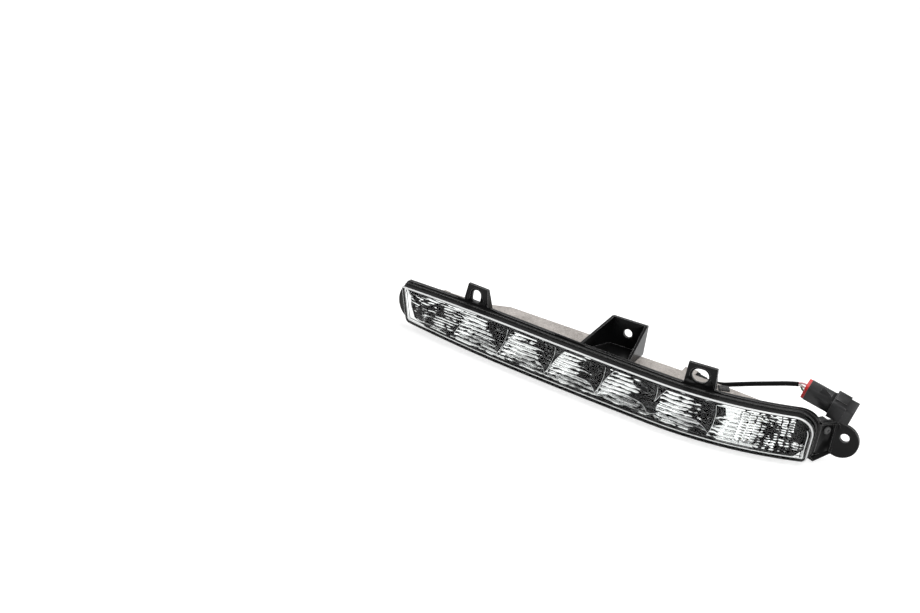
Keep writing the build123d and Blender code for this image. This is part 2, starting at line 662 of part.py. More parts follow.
def thermal_pad():
    """Soft pad that carries heat from the board to the spreader."""
    low = BOARD_HEIGHT + BOARD_THICKNESS
    return clear_of_screws(level(board_plan(PAD_MARGIN), low, low + PAD_THICKNESS), low, low + 1)


def heat_spreader():
    """Aluminium strip over the pad, with a finned leg that hangs down behind the scoops."""
    low = BOARD_HEIGHT + BOARD_THICKNESS + PAD_THICKNESS
    high = low + SPREADER_THICKNESS
    body = clear_of_screws(level(board_plan(PAD_MARGIN), low, high), low, high)
    left, right = LEG_SPAN
    across = block(LEG_SPAN, (-60, 90), (LEG_BOTTOM, high))
    body += level(across & band(BOARD_DEPTHS[1] - 2, LEG_DEPTH + SPREADER_THICKNESS), low, high)
    body += across & band(LEG_DEPTH, LEG_DEPTH + SPREADER_THICKNESS)
    pitch = (right - left - FIN_THICKNESS) / (FIN_COUNT - 1)
    for index in range(FIN_COUNT):
        x = left + index * pitch
        body += (block((x, x + FIN_THICKNESS), (-60, 90), (LEG_BOTTOM, high))
                 & band(LEG_DEPTH, LEG_DEPTH + SPREADER_THICKNESS + FIN_DEPTH))
    return body


def led(x, focus, depth):
    """One diode: square body under the board and a clear dome that looks down."""
    spot = led_centre(x, focus, depth)
    body = Pos(spot.X, spot.Y, BOARD_HEIGHT - LED_HEIGHT / 2) * Rot(0, 0, -AIM) * Box(
        LED_SIZE, LED_SIZE, LED_HEIGHT)
    dome = Sphere(LED_DOME, arc_size1=-90, arc_size2=0)
    return body + Pos(spot.X, spot.Y, BOARD_HEIGHT - LED_HEIGHT) * dome


def board_screws():
    top = BOARD_HEIGHT + BOARD_THICKNESS
    return Compound([screw(BOARD_SCREW, 5.0, Pos(x, y, z)) for x, y, z in board_screw_places(top)])


def housing_plan(grow):
    """Plan of the housing's outer wall, grown by an amount."""
    face = make_face(Polyline(*HOUSING_BACK, (HOUSING_BACK[-1][0], -60), (HOUSING_BACK[0][0], -60),
                              close=True))
    return offset(face, grow, kind=Kind.INTERSECTION) if grow else face


def rear_housing():
    """Grey housing behind the frame: stepped back, cable outlet, breather hole, posts and tabs."""
    wall = HOUSING_WALL
    outer = extrude(Pos(0, 0, HOUSING_BOTTOM) * housing_plan(0), HOUSING_TOP - HOUSING_BOTTOM)
    outer &= band(RIM_BACK, 90)
    back_edges = outer.edges().filter_by(
        lambda edge: edge.center().Y > 37 and abs(edge.tangent_at(0.5).Z) < 0.5)
    outer = fillet(back_edges.filter_by(lambda edge: plan_y(edge.center().X, RIM_BACK + 4) < edge.center().Y),
                   HOUSING_EDGE)
    left = OUTLET_RIGHT - OUTLET_LENGTH
    half = OUTLET_SIZE / 2
    top = min(OUTLET_Z + half, HOUSING_TOP)
    outlet = block((left, OUTLET_RIGHT), (40, OUTLET_Y + half), (OUTLET_Z - half, top))
    outlet = chamfer(outlet.edges().filter_by(Axis.X).group_by(Axis.Y)[-1], 1.6)
    inner = extrude(Pos(0, 0, HOUSING_BOTTOM + wall) * housing_plan(-wall),
                    HOUSING_TOP - HOUSING_BOTTOM - 2 * wall)
    top_places, bottom_places = tab_places()
    for places, toward in ((top_places, -1), (bottom_places, 1)):
        for place in places:
            tab = drill(place, 2 * TAB_RADIUS, -1, TAB_THICKNESS)
            tab += place * Pos(0, toward * TAB_RADIUS / 2, TAB_THICKNESS / 2) * Box(
                2 * TAB_RADIUS, TAB_RADIUS, TAB_THICKNESS)
            outer += tab & band(RIM_BACK, 90)
    body = outer + outlet - inner
    for x, z in DRIVER_POSTS:
        body += rod((x, DRIVER_FACE + DRIVER_THICKNESS, z), (x, 60, z), POST_DIAMETER) & outer
    body -= Pos(*VENT_MIDDLE, HOUSING_TOP) * Cylinder(VENT_BORE / 2, 2 * wall + 1)
    for place in top_places + bottom_places:
        body -= drill(place, SMALL_SCREW[0] + 2 * SCREW_FIT, -1, 9)
    for x, z in DRIVER_POSTS:
        body -= rod((x, DRIVER_FACE, z), (x, DRIVER_FACE + 4.7, z), SMALL_SCREW[0] + SCREW_FIT)
    body -= rod((left + wall, OUTLET_Y, OUTLET_Z), (OUTLET_RIGHT + 1, OUTLET_Y, OUTLET_Z), OUTLET_BORE)
    body -= rod((CHANNEL_X, OUTLET_Y, OUTLET_Z), (CHANNEL_X, 38, OUTLET_Z), CHANNEL_DIAMETER)
    return body


def vent_cap():
    """Flat square cap with a stem over the housing's breather hole."""
    wide, deep, height = VENT_SIZE
    cap = extrude(RectangleRounded(wide, deep, 1.0), height)
    cap = chamfer(cap.edges().group_by(Axis.Z)[-1], 0.35)
    for step in (-1, 0, 1):
        cap -= Pos(0, step * deep / 4, height) * Box(wide * 0.7, 0.7, 0.8)
    stem = Pos(0, 0, -HOUSING_WALL / 2 + 0.1) * Cylinder(VENT_BORE / 2 - FIT / 4, HOUSING_WALL - 0.2)
    return Pos(*VENT_MIDDLE, HOUSING_TOP) * Rot(0, 0, VENT_TURN) * (cap + stem)


def screws(places, size, length):
    return Compound([screw(size, length, place) for place in places])


def housing_screws():
    top_places, bottom_places = tab_places()
    back = [place * Pos(0, 0, TAB_THICKNESS) for place in top_places + bottom_places]
    return screws(back, SMALL_SCREW, TAB_THICKNESS + 2.8)


def reflector_screws():
    return screws(reflector_screw_places(), SMALL_SCREW, BACK_PLATE + 2.4)


def end_bracket_screw():
    return screw(NECK_SCREW, 8.0, neck_screw_place)


def driver_board():
    """Current driver board on posts of the housing's back wall."""
    left, right = DRIVER_SPAN
    low, high = DRIVER_HEIGHTS
    body = block((left, right), (DRIVER_FACE, DRIVER_FACE + DRIVER_THICKNESS), (low, high))
    for x, z in DRIVER_POSTS:
        body -= rod((x, DRIVER_FACE - 1, z), (x, DRIVER_FACE + 3, z), SMALL_SCREW[0] + 2 * SCREW_FIT)
    return body


def driver_screws():
    places = [Plane(origin=(x, DRIVER_FACE, z), x_dir=(1, 0, 0), z_dir=(0, -1, 0)).location
              for x, z in DRIVER_POSTS]
    return screws(places, SMALL_SCREW, 4.4)


def on_driver(x, z):
    """Place on the driver board whose local Z points forwards."""
    return Plane(origin=(x, DRIVER_FACE, z), x_dir=(1, 0, 0), z_dir=(0, -1, 0)).location


def driver_inductor():
    base = Pos(0, 0, 0.5) * Box(8.4, 8.4, 1.0)
    core = Pos(0, 0, 2.4) * Cylinder(3.9, 4.0)
    return on_driver(-52.0, -4.0) * (base + core)


def driver_capacitors():
    body = Pos(0, 0, 0.5) * Box(6.6, 6.6, 1.0) + Pos(0, 0, 3.0) * Cylinder(3.15, 5.0)
    body -= Pos(0, 0, 5.5) * (Box(5, 0.5, 0.6) + Box(0.5, 5, 0.6))
    return Compound([on_driver(x, -4.0) * body for x in (-41.0, -33.0)])


def driver_chip():
    body = Pos(0, 0, 0.9) * Box(5.0, 4.0, 1.5)
    for step in range(4):
        for side in (-1, 1):
            body += Pos(-1.9 + 1.27 * step, side * 2.4, 0.35) * Box(0.45, 1.6, 0.7)
    return on_driver(-62.0, -4.0) * body


def grommet():
    """Rubber strain relief: plug in the outlet, collar and tapered tail."""
    length = OUTLET_LENGTH - HOUSING_WALL - CHANNEL_DIAMETER - 2 * CHANNEL_MARGIN
    plug = Pos(-length / 2, 0, 0) * Rot(0, 90, 0) * Cylinder(OUTLET_BORE / 2, length)
    collar = Pos(GROMMET_COLLAR / 2, 0, 0) * Rot(0, 90, 0) * Cylinder(OUTLET_SIZE / 2 - 0.1, GROMMET_COLLAR)
    collar = fillet(collar.edges().group_by(Axis.X)[-1], 0.8)
    tail = Pos(GROMMET_COLLAR + GROMMET_TAIL / 2, 0, 0) * Rot(0, 90, 0) * Cone(
        CABLE_DIAMETER / 2 + 1.7, CABLE_DIAMETER / 2 + 0.7, GROMMET_TAIL)
    return Pos(OUTLET_RIGHT, OUTLET_Y, OUTLET_Z) * (plug + collar + tail)


connector_axis = Vector(cos(radians(CONNECTOR_PITCH)), 0, -sin(radians(CONNECTOR_PITCH)))
connector_place = Plane(origin=CONNECTOR_REAR, x_dir=(0, 1, 0), z_dir=connector_axis).location * Rot(
    0, 0, CONNECTOR_ROLL)


def prism(section, start, end, corner):
    """Rounded block along the connector's axis."""
    thick, tall = section
    return Pos(0, 0, start) * extrude(RectangleRounded(thick, tall, corner), end - start)


def connector_body():
    """Plug housing: chamfered body, step for the latch and an inner core with its mouth."""
    thick, tall = BODY_SECTION
    end = BODY_LENGTH + SLEEVE_LENGTH + NOSE_LENGTH
    body = Pos(0, 0, BODY_LENGTH / 2) * Box(thick, tall, BODY_LENGTH)
    body = chamfer(body.edges().filter_by(Axis.Z), BODY_CHAMFER)
    body += prism(CORE_SECTION, BODY_LENGTH - 1, end - 1.2, 1.2)
    body -= prism(MOUTH_SECTION, end - MOUTH_DEPTH, end + 1, 0.8)
    body += Pos(0, tall / 2 + 0.8, BODY_LENGTH - 7.0) * Box(5.0, 2.0, 9.0)
    for wire in (-1, 0, 1):
        body -= Pos(0, wire * WIRE_PITCH, 1.6) * Cylinder(WIRE_DIAMETER / 2 + FIT, 6.0)
    return connector_place * body


def connector_sleeve():
    """Locking sleeve round the front of the plug housing."""
    start, end = BODY_LENGTH, BODY_LENGTH + SLEEVE_LENGTH
    body = prism(SLEEVE_SECTION, start, end, 1.8) + prism(NOSE_SECTION, end - 1, end + NOSE_LENGTH, 1.4)
    body = body - prism(CORE_SECTION, start - 1, end + NOSE_LENGTH + 1, 1.2)
    thick, tall = SLEEVE_SECTION
    body += Pos(0, tall / 2 + 0.4, start + SLEEVE_LENGTH / 2) * Box(6.0, 1.8, SLEEVE_LENGTH - 2)
    body += Pos(0, -tall / 2 - 0.3, start + SLEEVE_LENGTH / 2) * Box(5.0, 1.8, 5.0)
    return connector_place * body


def connector_seal():
    """Red three-lobed family seal on the connector's rear face, pierced by the wires."""
    thick, tall = (size - 2 * SEAL_MARGIN for size in BODY_SECTION)
    body = prism((thick, tall), -SEAL_PROUD, 0, BODY_CHAMFER)
    body = fillet(body.edges().group_by(Axis.Z)[0], SEAL_PROUD / 3)
    for side in (-1, 1):
        for gap in (-0.5, 0.5):
            body -= Pos(side * thick / 2, gap * WIRE_PITCH, -SEAL_PROUD) * Cylinder(1.3, SEAL_PROUD)
    for wire in (-1, 0, 1):
        body -= Pos(0, wire * WIRE_PITCH, 0) * Cylinder(WIRE_DIAMETER / 2 + 0.05, 4 * SEAL_PROUD)
    return connector_place * body


def connector_terminals():
    """Three socket contacts inside the mouth."""
    end = BODY_LENGTH + SLEEVE_LENGTH + NOSE_LENGTH
    wide, tall = TERMINAL_SIZE
    body = [connector_place * Pos(0, wire * WIRE_PITCH * 0.75, end - MOUTH_DEPTH + 4.0) * Box(wide, tall, 8.0)
            for wire in (-1, 0, 1)]
    return Compound(body)


def cable():
    """Sheathed cable from the strain relief to the connector's tails."""
    body, radii, length = tube_path(CABLE_ROUTE, CABLE_DIAMETER)
    section = pi * CABLE_DIAMETER ** 2 / 4
    print("cable arc radii", [round(radius, 1) for radius in radii], "length", round(length, 1),
          "volume over section times length", round(body.volume / (section * length), 4))
    return body


def wire_tail(place):
    """One insulated wire from the sheath's end into the seal."""
    end = Vector(*CABLE_ROUTE[-1])
    run = (end - Vector(*CABLE_ROUTE[-2])).normalized()
    row = connector_place * Pos(0, place * WIRE_PITCH, 0)
    across = Vector(*(connector_place * Pos(0, 1, 0)).position) - Vector(*CONNECTOR_REAR)
    side = (across - run * across.dot(run)).normalized()
    lift = run.cross(side)
    spread = WIRE_DIAMETER * 0.53
    start = end + side * place * spread + lift * spread * (-0.58 if place else 1.16)
    target = Vector(*row.position)
    entry = target - connector_axis * SEAL_PROUD
    path = Bezier(start, start + run * 2.4, entry - connector_axis * 2.6, entry)
    path += Line(entry, target + connector_axis * 2.4)
    return sweep(Plane(origin=start, z_dir=run) * Circle(WIRE_DIAMETER / 2), path)


def leads(route, across):
    """Pair of thin leads side by side along a route inside the housing."""
    shift = Vector(*across) * (LEAD_PITCH / 2)
    return Compound([tube_path([Vector(*point) + shift * sign for point in route], LEAD_DIAMETER)[0]
                     for sign in (-1, 1)])


def nodes():
    """Every piece of the lamp by name."""
    made = {
        "lens": lens(), "lens_seal": lens_seal(), "carrier_frame": carrier_frame(),
        "rear_housing": rear_housing(), "housing_screws": housing_screws(),
        "reflector": reflector(), "reflector_screws": reflector_screws(),
        "end_bracket": end_bracket(), "end_bracket_screw": end_bracket_screw(),
        "led_board": led_board(), "board_screws": board_screws(), "thermal_pad": thermal_pad(),
        "heat_spreader": heat_spreader(), "driver_board": driver_board(),
        "driver_screws": driver_screws(), "driver_inductor": driver_inductor(),
        "driver_capacitors": driver_capacitors(), "driver_chip": driver_chip(),
        "vent_cap": vent_cap(), "cable_grommet": grommet(), "cable": cable(),
        "wire_red": wire_tail(1), "wire_white": wire_tail(0), "wire_green": wire_tail(-1),
        "connector_body": connector_body(), "connector_sleeve": connector_sleeve(),
        "connector_seal": connector_seal(), "connector_terminals": connector_terminals(),
        "supply_leads": leads(SUPPLY_ROUTE, (0, 0, 1)), "board_leads": leads(BOARD_ROUTE, (1, 0, 0)),
    }
    for number, scoop in enumerate(scoop_list(), 1):
        made[f"led_{number}"] = led(*scoop)
    return made


if __name__ == "__main__":
    os.makedirs("parts", exist_ok=True)
    origin = Pos(-BRACKET_HOLE_X, -BRACKET_FACE - BRACKET_PLATE / 2, -BRACKET_HOLE_Z)
    for name, shape in nodes().items():
        placed = origin * shape
        export_step(placed, f"parts/{name}.step")
        size = placed.bounding_box().size
        print(f"{name:22s} solids {len(placed.solids())} volume {placed.volume:9.0f} mm3  "
              f"{size.X:6.1f} {size.Y:6.1f} {size.Z:6.1f}  valid {placed.is_valid}")
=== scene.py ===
import logging
import math
from dataclasses import dataclass
from enum import Enum

import bmesh
import bpy
import numpy as np
from bpy.types import Material, Mesh, Node, NodeSocket, Object
from mathutils import Matrix, Vector


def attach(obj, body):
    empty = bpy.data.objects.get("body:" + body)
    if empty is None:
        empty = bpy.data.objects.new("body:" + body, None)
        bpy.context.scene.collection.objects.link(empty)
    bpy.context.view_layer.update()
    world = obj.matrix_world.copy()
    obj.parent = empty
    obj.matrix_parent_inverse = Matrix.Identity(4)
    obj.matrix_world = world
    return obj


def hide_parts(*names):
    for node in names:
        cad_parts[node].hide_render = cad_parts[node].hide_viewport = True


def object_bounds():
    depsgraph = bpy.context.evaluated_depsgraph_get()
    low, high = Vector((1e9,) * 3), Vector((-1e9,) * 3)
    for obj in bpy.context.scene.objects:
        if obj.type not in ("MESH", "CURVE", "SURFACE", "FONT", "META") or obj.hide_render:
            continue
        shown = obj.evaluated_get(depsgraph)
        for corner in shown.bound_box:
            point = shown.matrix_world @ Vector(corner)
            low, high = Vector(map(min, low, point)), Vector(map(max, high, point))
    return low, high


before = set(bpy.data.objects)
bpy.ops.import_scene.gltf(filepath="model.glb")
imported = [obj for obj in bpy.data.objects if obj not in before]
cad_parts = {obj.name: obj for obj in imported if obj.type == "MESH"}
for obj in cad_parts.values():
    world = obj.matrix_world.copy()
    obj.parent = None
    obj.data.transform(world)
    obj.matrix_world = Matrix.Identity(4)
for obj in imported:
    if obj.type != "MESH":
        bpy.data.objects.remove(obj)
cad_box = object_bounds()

Pair = tuple[float, float]
Triple = tuple[float, float, float]

log = logging.getLogger("running_lamp")
MM = 0.001
BODY = "root"
CRISP = 24.0  # degrees past which an edge of a smooth piece stays crisp


class Relief(Enum):
    """Kinds of fine surface relief: octaves of its noise, and the share of each finer one."""

    PEEL = (1.0, 0.4)
    GRAIN = (4.0, 0.75)
    BRUSHED = (2.0, 0.5)


class Tree:
    """Small builder for any node tree."""

    def __init__(self, tree: bpy.types.NodeTree) -> None:
        """Take a tree and clear it.

        Args:
            tree: The tree to build in.
        """
        self.tree = tree
        tree.nodes.clear()

    def node(self, kind: str, inputs: dict | None = None, **settings: object) -> Node:
        """Add a node.

        Args:
            kind: Blender's node type.
            inputs: Values or sockets by the input's name or number.
            settings: Attributes of the node itself.

        Returns:
            The new node.
        """
        made = self.tree.nodes.new(kind)
        for key, value in settings.items():
            setattr(made, key, value)
        for key, value in (inputs or {}).items():
            if isinstance(value, NodeSocket):
                self.tree.links.new(value, made.inputs[key])
            else:
                made.inputs[key].default_value = value
        return made


class Graph(Tree):
    """Builder for the shader of a material or a world."""

    def __init__(self, owner: Material | bpy.types.World,
                 output: str = "ShaderNodeOutputMaterial") -> None:
        """Start an empty shader.

        Args:
            owner: The material or world that gets the shader.
            output: Type of its output node.
        """
        owner.use_nodes = True
        super().__init__(owner.node_tree)
        self.owner = owner
        self.output = self.node(output)

    def math(self, operation: str, *values: object) -> NodeSocket:
        """Add a Math node and return its value."""
        return self.node("ShaderNodeMath", dict(enumerate(values)), operation=operation).outputs[0]

    def mix(self, share: object, low: object, high: object) -> NodeSocket:
        """Mix two values by a third."""
        return self.node("ShaderNodeMix", {0: share, 2: low, 3: high}).outputs[0]

    def tint(self, share: object, low: object, high: object) -> NodeSocket:
        """Mix two colours by a value."""
        return self.node("ShaderNodeMix", {0: share, 6: low, 7: high}, data_type="RGBA").outputs[2]

    def place(self) -> NodeSocket:
        """Object coordinates in metres."""
        return self.node("ShaderNodeTexCoord").outputs["Object"]

    def stretch(self, scale: Triple) -> NodeSocket:
        """Object coordinates scaled along each axis."""
        return self.node("ShaderNodeMapping", {"Vector": self.place(), "Scale": scale}).outputs[0]

    def attribute(self, name: str) -> NodeSocket:
        """Value of a mesh attribute."""
        return self.node("ShaderNodeAttribute", attribute_name=name).outputs["Fac"]

    def noise(self, scale: float, detail: float = 3.0, roughness: float = 0.5,
              vector: NodeSocket | None = None) -> NodeSocket:
        """Add a noise texture on object coordinates.

        Args:
            scale: Cycles of noise in a metre.
            detail: Number of octaves.
            roughness: Share of each finer octave.
            vector: Coordinates, when not the plain object ones.

        Returns:
            The noise value, about 0 to 1.
        """
        return self.node("ShaderNodeTexNoise", {
            "Vector": vector or self.place(), "Scale": scale, "Detail": detail,
            "Roughness": roughness}).outputs[0]

    def blend(self, share: NodeSocket, low: tuple, high: tuple,
              span: Pair = (0.35, 0.65)) -> NodeSocket:
        """Blend two colours by a value, which reaches them at the ends of the span."""
        ramp = self.node("ShaderNodeValToRGB", {"Fac": share})
        ramp.color_ramp.elements[0].position, ramp.color_ramp.elements[1].position = span
        ramp.color_ramp.elements[0].color = (*low, 1.0)
        ramp.color_ramp.elements[1].color = (*high, 1.0)
        return ramp.outputs["Color"]

    def level(self, share: NodeSocket, low: float = 0.0, high: float = 1.0,
              span: Pair = (0.0, 1.0)) -> NodeSocket:
        """Carry a value from a span onto the range from low to high."""
        return self.node("ShaderNodeMapRange", {
            "Value": share, "From Min": span[0], "From Max": span[1], "To Min": low,
            "To Max": high}).outputs["Result"]

    def bump(self, height: NodeSocket, depth: float) -> NodeSocket:
        """Turn a height from 0 to 1 into a normal, 1 being a depth in metres."""
        made = self.node("ShaderNodeBump", {"Height": height, "Distance": depth, "Strength": 1.0})
        return made.outputs["Normal"]

    def finish(self, shader: NodeSocket) -> Material | bpy.types.World:
        """Link the shader to the output and return its owner."""
        self.tree.links.new(shader, self.output.inputs["Surface"])
        return self.owner


def grey(value: float) -> Triple:
    """Colour with one value for all three parts."""
    return (value, value, value)


@dataclass(frozen=True)
class Moulded:
    """Moulded plastic, rubber or plain metal with a fine relief.

    Attributes:
        second: Other end of the cloudy colour, with speckle as the relief's share in its pattern.
        relief_scale: Cycles of relief in a metre.
        edge: Width in metres of the painted highlight along the moulded edges, 0 for none.
        edge_match: Agreement of rounded and true normals where that painted highlight starts and ends.
    """

    name: str
    colour: Triple
    second: Triple
    rough: Pair = (0.3, 0.45)
    relief: Relief = Relief.GRAIN
    relief_scale: float = 2500.0
    relief_depth: float = 2e-5
    metallic: float = 0.0
    specular: float = 0.5
    speckle: float = 0.3
    edge: float = 0.0
    edge_highlight_colour: Triple = grey(0.20)
    edge_match: Pair = (0.965, 0.78)

    def make(self) -> Material:
        """Build the material."""
        graph = Graph(bpy.data.materials.new(self.name))
        cloud = graph.noise(38.0, detail=4.0, roughness=0.6)
        stretch = graph.stretch((0.08, 1.0, 1.0)) if self.relief is Relief.BRUSHED else None
        fine = graph.noise(self.relief_scale, *self.relief.value, vector=stretch)
        tint = graph.blend(graph.mix(self.speckle, cloud, fine), self.colour, self.second)
        # Painted highlight: the colour turns light along edges, where the rounded normal leaves the true
        # one.
        if self.edge > 0:
            rounded = graph.node("ShaderNodeBevel", {"Radius": self.edge}, samples=6)
            true = graph.node("ShaderNodeNewGeometry").outputs["Normal"]
            match = graph.node("ShaderNodeVectorMath", {0: rounded.outputs[0], 1: true},
                               operation="DOT_PRODUCT").outputs["Value"]
            share = graph.level(match, span=self.edge_match)
            tint = graph.tint(share, tint, (*self.edge_highlight_colour, 1.0))
        surface = graph.node("ShaderNodeBsdfPrincipled", {
            "Base Color": tint, "Roughness": graph.level(cloud, *self.rough),
            "Metallic": self.metallic, "Specular IOR Level": self.specular,
            "Normal": graph.bump(fine, self.relief_depth)})
        return graph.finish(surface.outputs[0])


@dataclass(frozen=True)
class ClearPlastic:
    """Clear moulded lens plastic."""

    name: str = "clear_lens_plastic"
    colour: Triple = (0.97, 0.985, 0.98)
    ior: float = 1.2
    ripple_depth: float = 0.02 * MM

    def make(self) -> Material:
        """Build the material."""
        graph = Graph(bpy.data.materials.new(self.name))
        ripple = graph.noise(60.0, detail=1.0, roughness=0.3)
        surface = graph.node("ShaderNodeBsdfPrincipled", {
            "Base Color": (*self.colour, 1.0), "Roughness": 0.0, "IOR": self.ior,
            "Transmission Weight": 1.0, "Normal": graph.bump(ripple, self.ripple_depth)})
        return graph.finish(surface.outputs[0])


@dataclass(frozen=True)
class MirrorCoat:
    """Bright metallised plastic with level flutes, crossed by upright ones outboard.

    Attributes:
        fine_until: X inboard of which the flutes have the fine pitch.
        lean: Rise of the flutes for each unit of depth behind the lens.
        facet_start: X beyond which upright flutes cross the level ones.
        bowl_size: Half width and height of a bowl, for its painted shade.
        edge_lean: How far the painted shade's edge leans with height.
        dark_from: Place across a bowl where the painted shade starts and where it is full.
        sway: Height in metres by which the flutes wander.
    """

    name: str = "mirror_coat"
    flute_pitch: float = 3.4 * MM
    fine_pitch: float = 2.3 * MM
    fine_until: float = -0.138
    flute_depth: float = 0.45 * MM
    lean: float = 0.47
    facet_start: float = 0.104
    facet_size: Pair = (5.0 * MM, 2.1 * MM)
    bowl_size: Pair = (22.5 * MM, 13.5 * MM)
    bowl_level: float = -28.5 * MM
    edge_lean: float = 0.24
    dark_from: Pair = (-0.32, 0.42)
    painted_shade_weight: float = 1.45
    sway: float = 0.0034
    # Noise patches and streaks in the painted reflection.
    streak: float = 1.4
    patch: float = 1.5
    painted_sheen: float = 0.20
    # Black and white ends of the painted reflection in the base colour.
    dark: Triple = (0.003, 0.003, 0.0035)
    light: Triple = grey(1.0)

    def make(self) -> Material:
        """Build the material."""
        graph = Graph(bpy.data.materials.new(self.name))
        split = graph.node("ShaderNodeSeparateXYZ", {"Vector": graph.place()})
        shade = graph.math("MULTIPLY", self.painted_shade(graph, split), self.painted_shade_weight)
        sway = graph.math("MULTIPLY", graph.noise(24.0, detail=2.0, roughness=0.5), self.sway)
        across = graph.math("ADD", graph.math("ADD", split.outputs["Z"], sway),
                            graph.math("MULTIPLY", graph.attribute("depth"), self.lean))
        outboard = graph.math("GREATER_THAN", split.outputs["X"], self.facet_start)
        inboard = graph.math("LESS_THAN", split.outputs["X"], self.fine_until)
        flutes = graph.mix(inboard, self.pillow(graph, across, self.flute_pitch),
                           self.pillow(graph, across, self.fine_pitch))
        facets = graph.math("MULTIPLY", self.pillow(graph, split.outputs["X"], self.facet_size[0]),
                            self.pillow(graph, across, self.facet_size[1]))
        relief = graph.mix(outboard, flutes, facets)
        streaks = graph.noise(360.0, detail=2.0, roughness=0.6, vector=graph.stretch((0.28, 0.5, 1.3)))
        streak = graph.level(streaks, -self.streak, self.streak)
        patch = graph.level(graph.noise(90.0, detail=2.0, roughness=0.6), -self.patch, self.patch)
        # Painted reflection and shade: the base colour snaps between black and white along the flutes, with
        # noise patches and streaks, and goes dark under the painted shade.
        seen = graph.math("ADD", graph.math("ADD", relief, patch), graph.math("SUBTRACT", streak, shade))
        bright = graph.blend(seen, self.dark, self.light, span=(0.28, 0.40))
        # Painted highlight: the brightest streaks are lightened toward white.
        painted_sheen = graph.math("MULTIPLY", graph.math("MAXIMUM", streak, 0.0), self.painted_sheen)
        surface = graph.node("ShaderNodeBsdfPrincipled", {
            "Base Color": graph.tint(painted_sheen, bright, (*self.light, 1.0)), "Metallic": 1.0,
            "Roughness": graph.level(graph.noise(200.0), 0.05, 0.14),
            "Normal": graph.bump(relief, self.flute_depth)})
        return graph.finish(surface.outputs[0])

    def painted_shade(self, graph: Graph, split: Node) -> NodeSocket:
        """Painted shade of the coat: the outboard side of each bowl, and the lands between the bowls.

        Args:
            graph: The material's builder.
            split: Node that gives the place along each axis.

        Returns:
            0 where the coat's colour stays bright, 1 where it is painted dark.
        """
        half_width, height = self.bowl_size
        aside = graph.math("SUBTRACT", split.outputs["X"], graph.attribute("bowl_centre"))
        above = graph.math("SUBTRACT", split.outputs["Z"], self.bowl_level)
        edge = graph.math("ADD", graph.math("DIVIDE", aside, half_width),
                          graph.math("MULTIPLY", graph.math("DIVIDE", above, height), self.edge_lean))
        return graph.mix(graph.attribute("in_bowl"), graph.attribute("plain_shade"),
                         graph.level(edge, span=self.dark_from))

    @staticmethod
    def pillow(graph: Graph, value: NodeSocket, pitch: float) -> NodeSocket:
        """Row of rounded ridges.

        Args:
            graph: The material's builder.
            value: Coordinate across the ridges, in metres.
            pitch: Distance between ridges, in metres.

        Returns:
            Height from 0 to 1.
        """
        phase = graph.math("SUBTRACT", graph.math("FRACT", graph.math("DIVIDE", value, pitch)), 0.5)
        square = graph.math("MULTIPLY", phase, phase)
        return graph.math("SUBTRACT", 1.0, graph.math("MULTIPLY", square, 4.0))


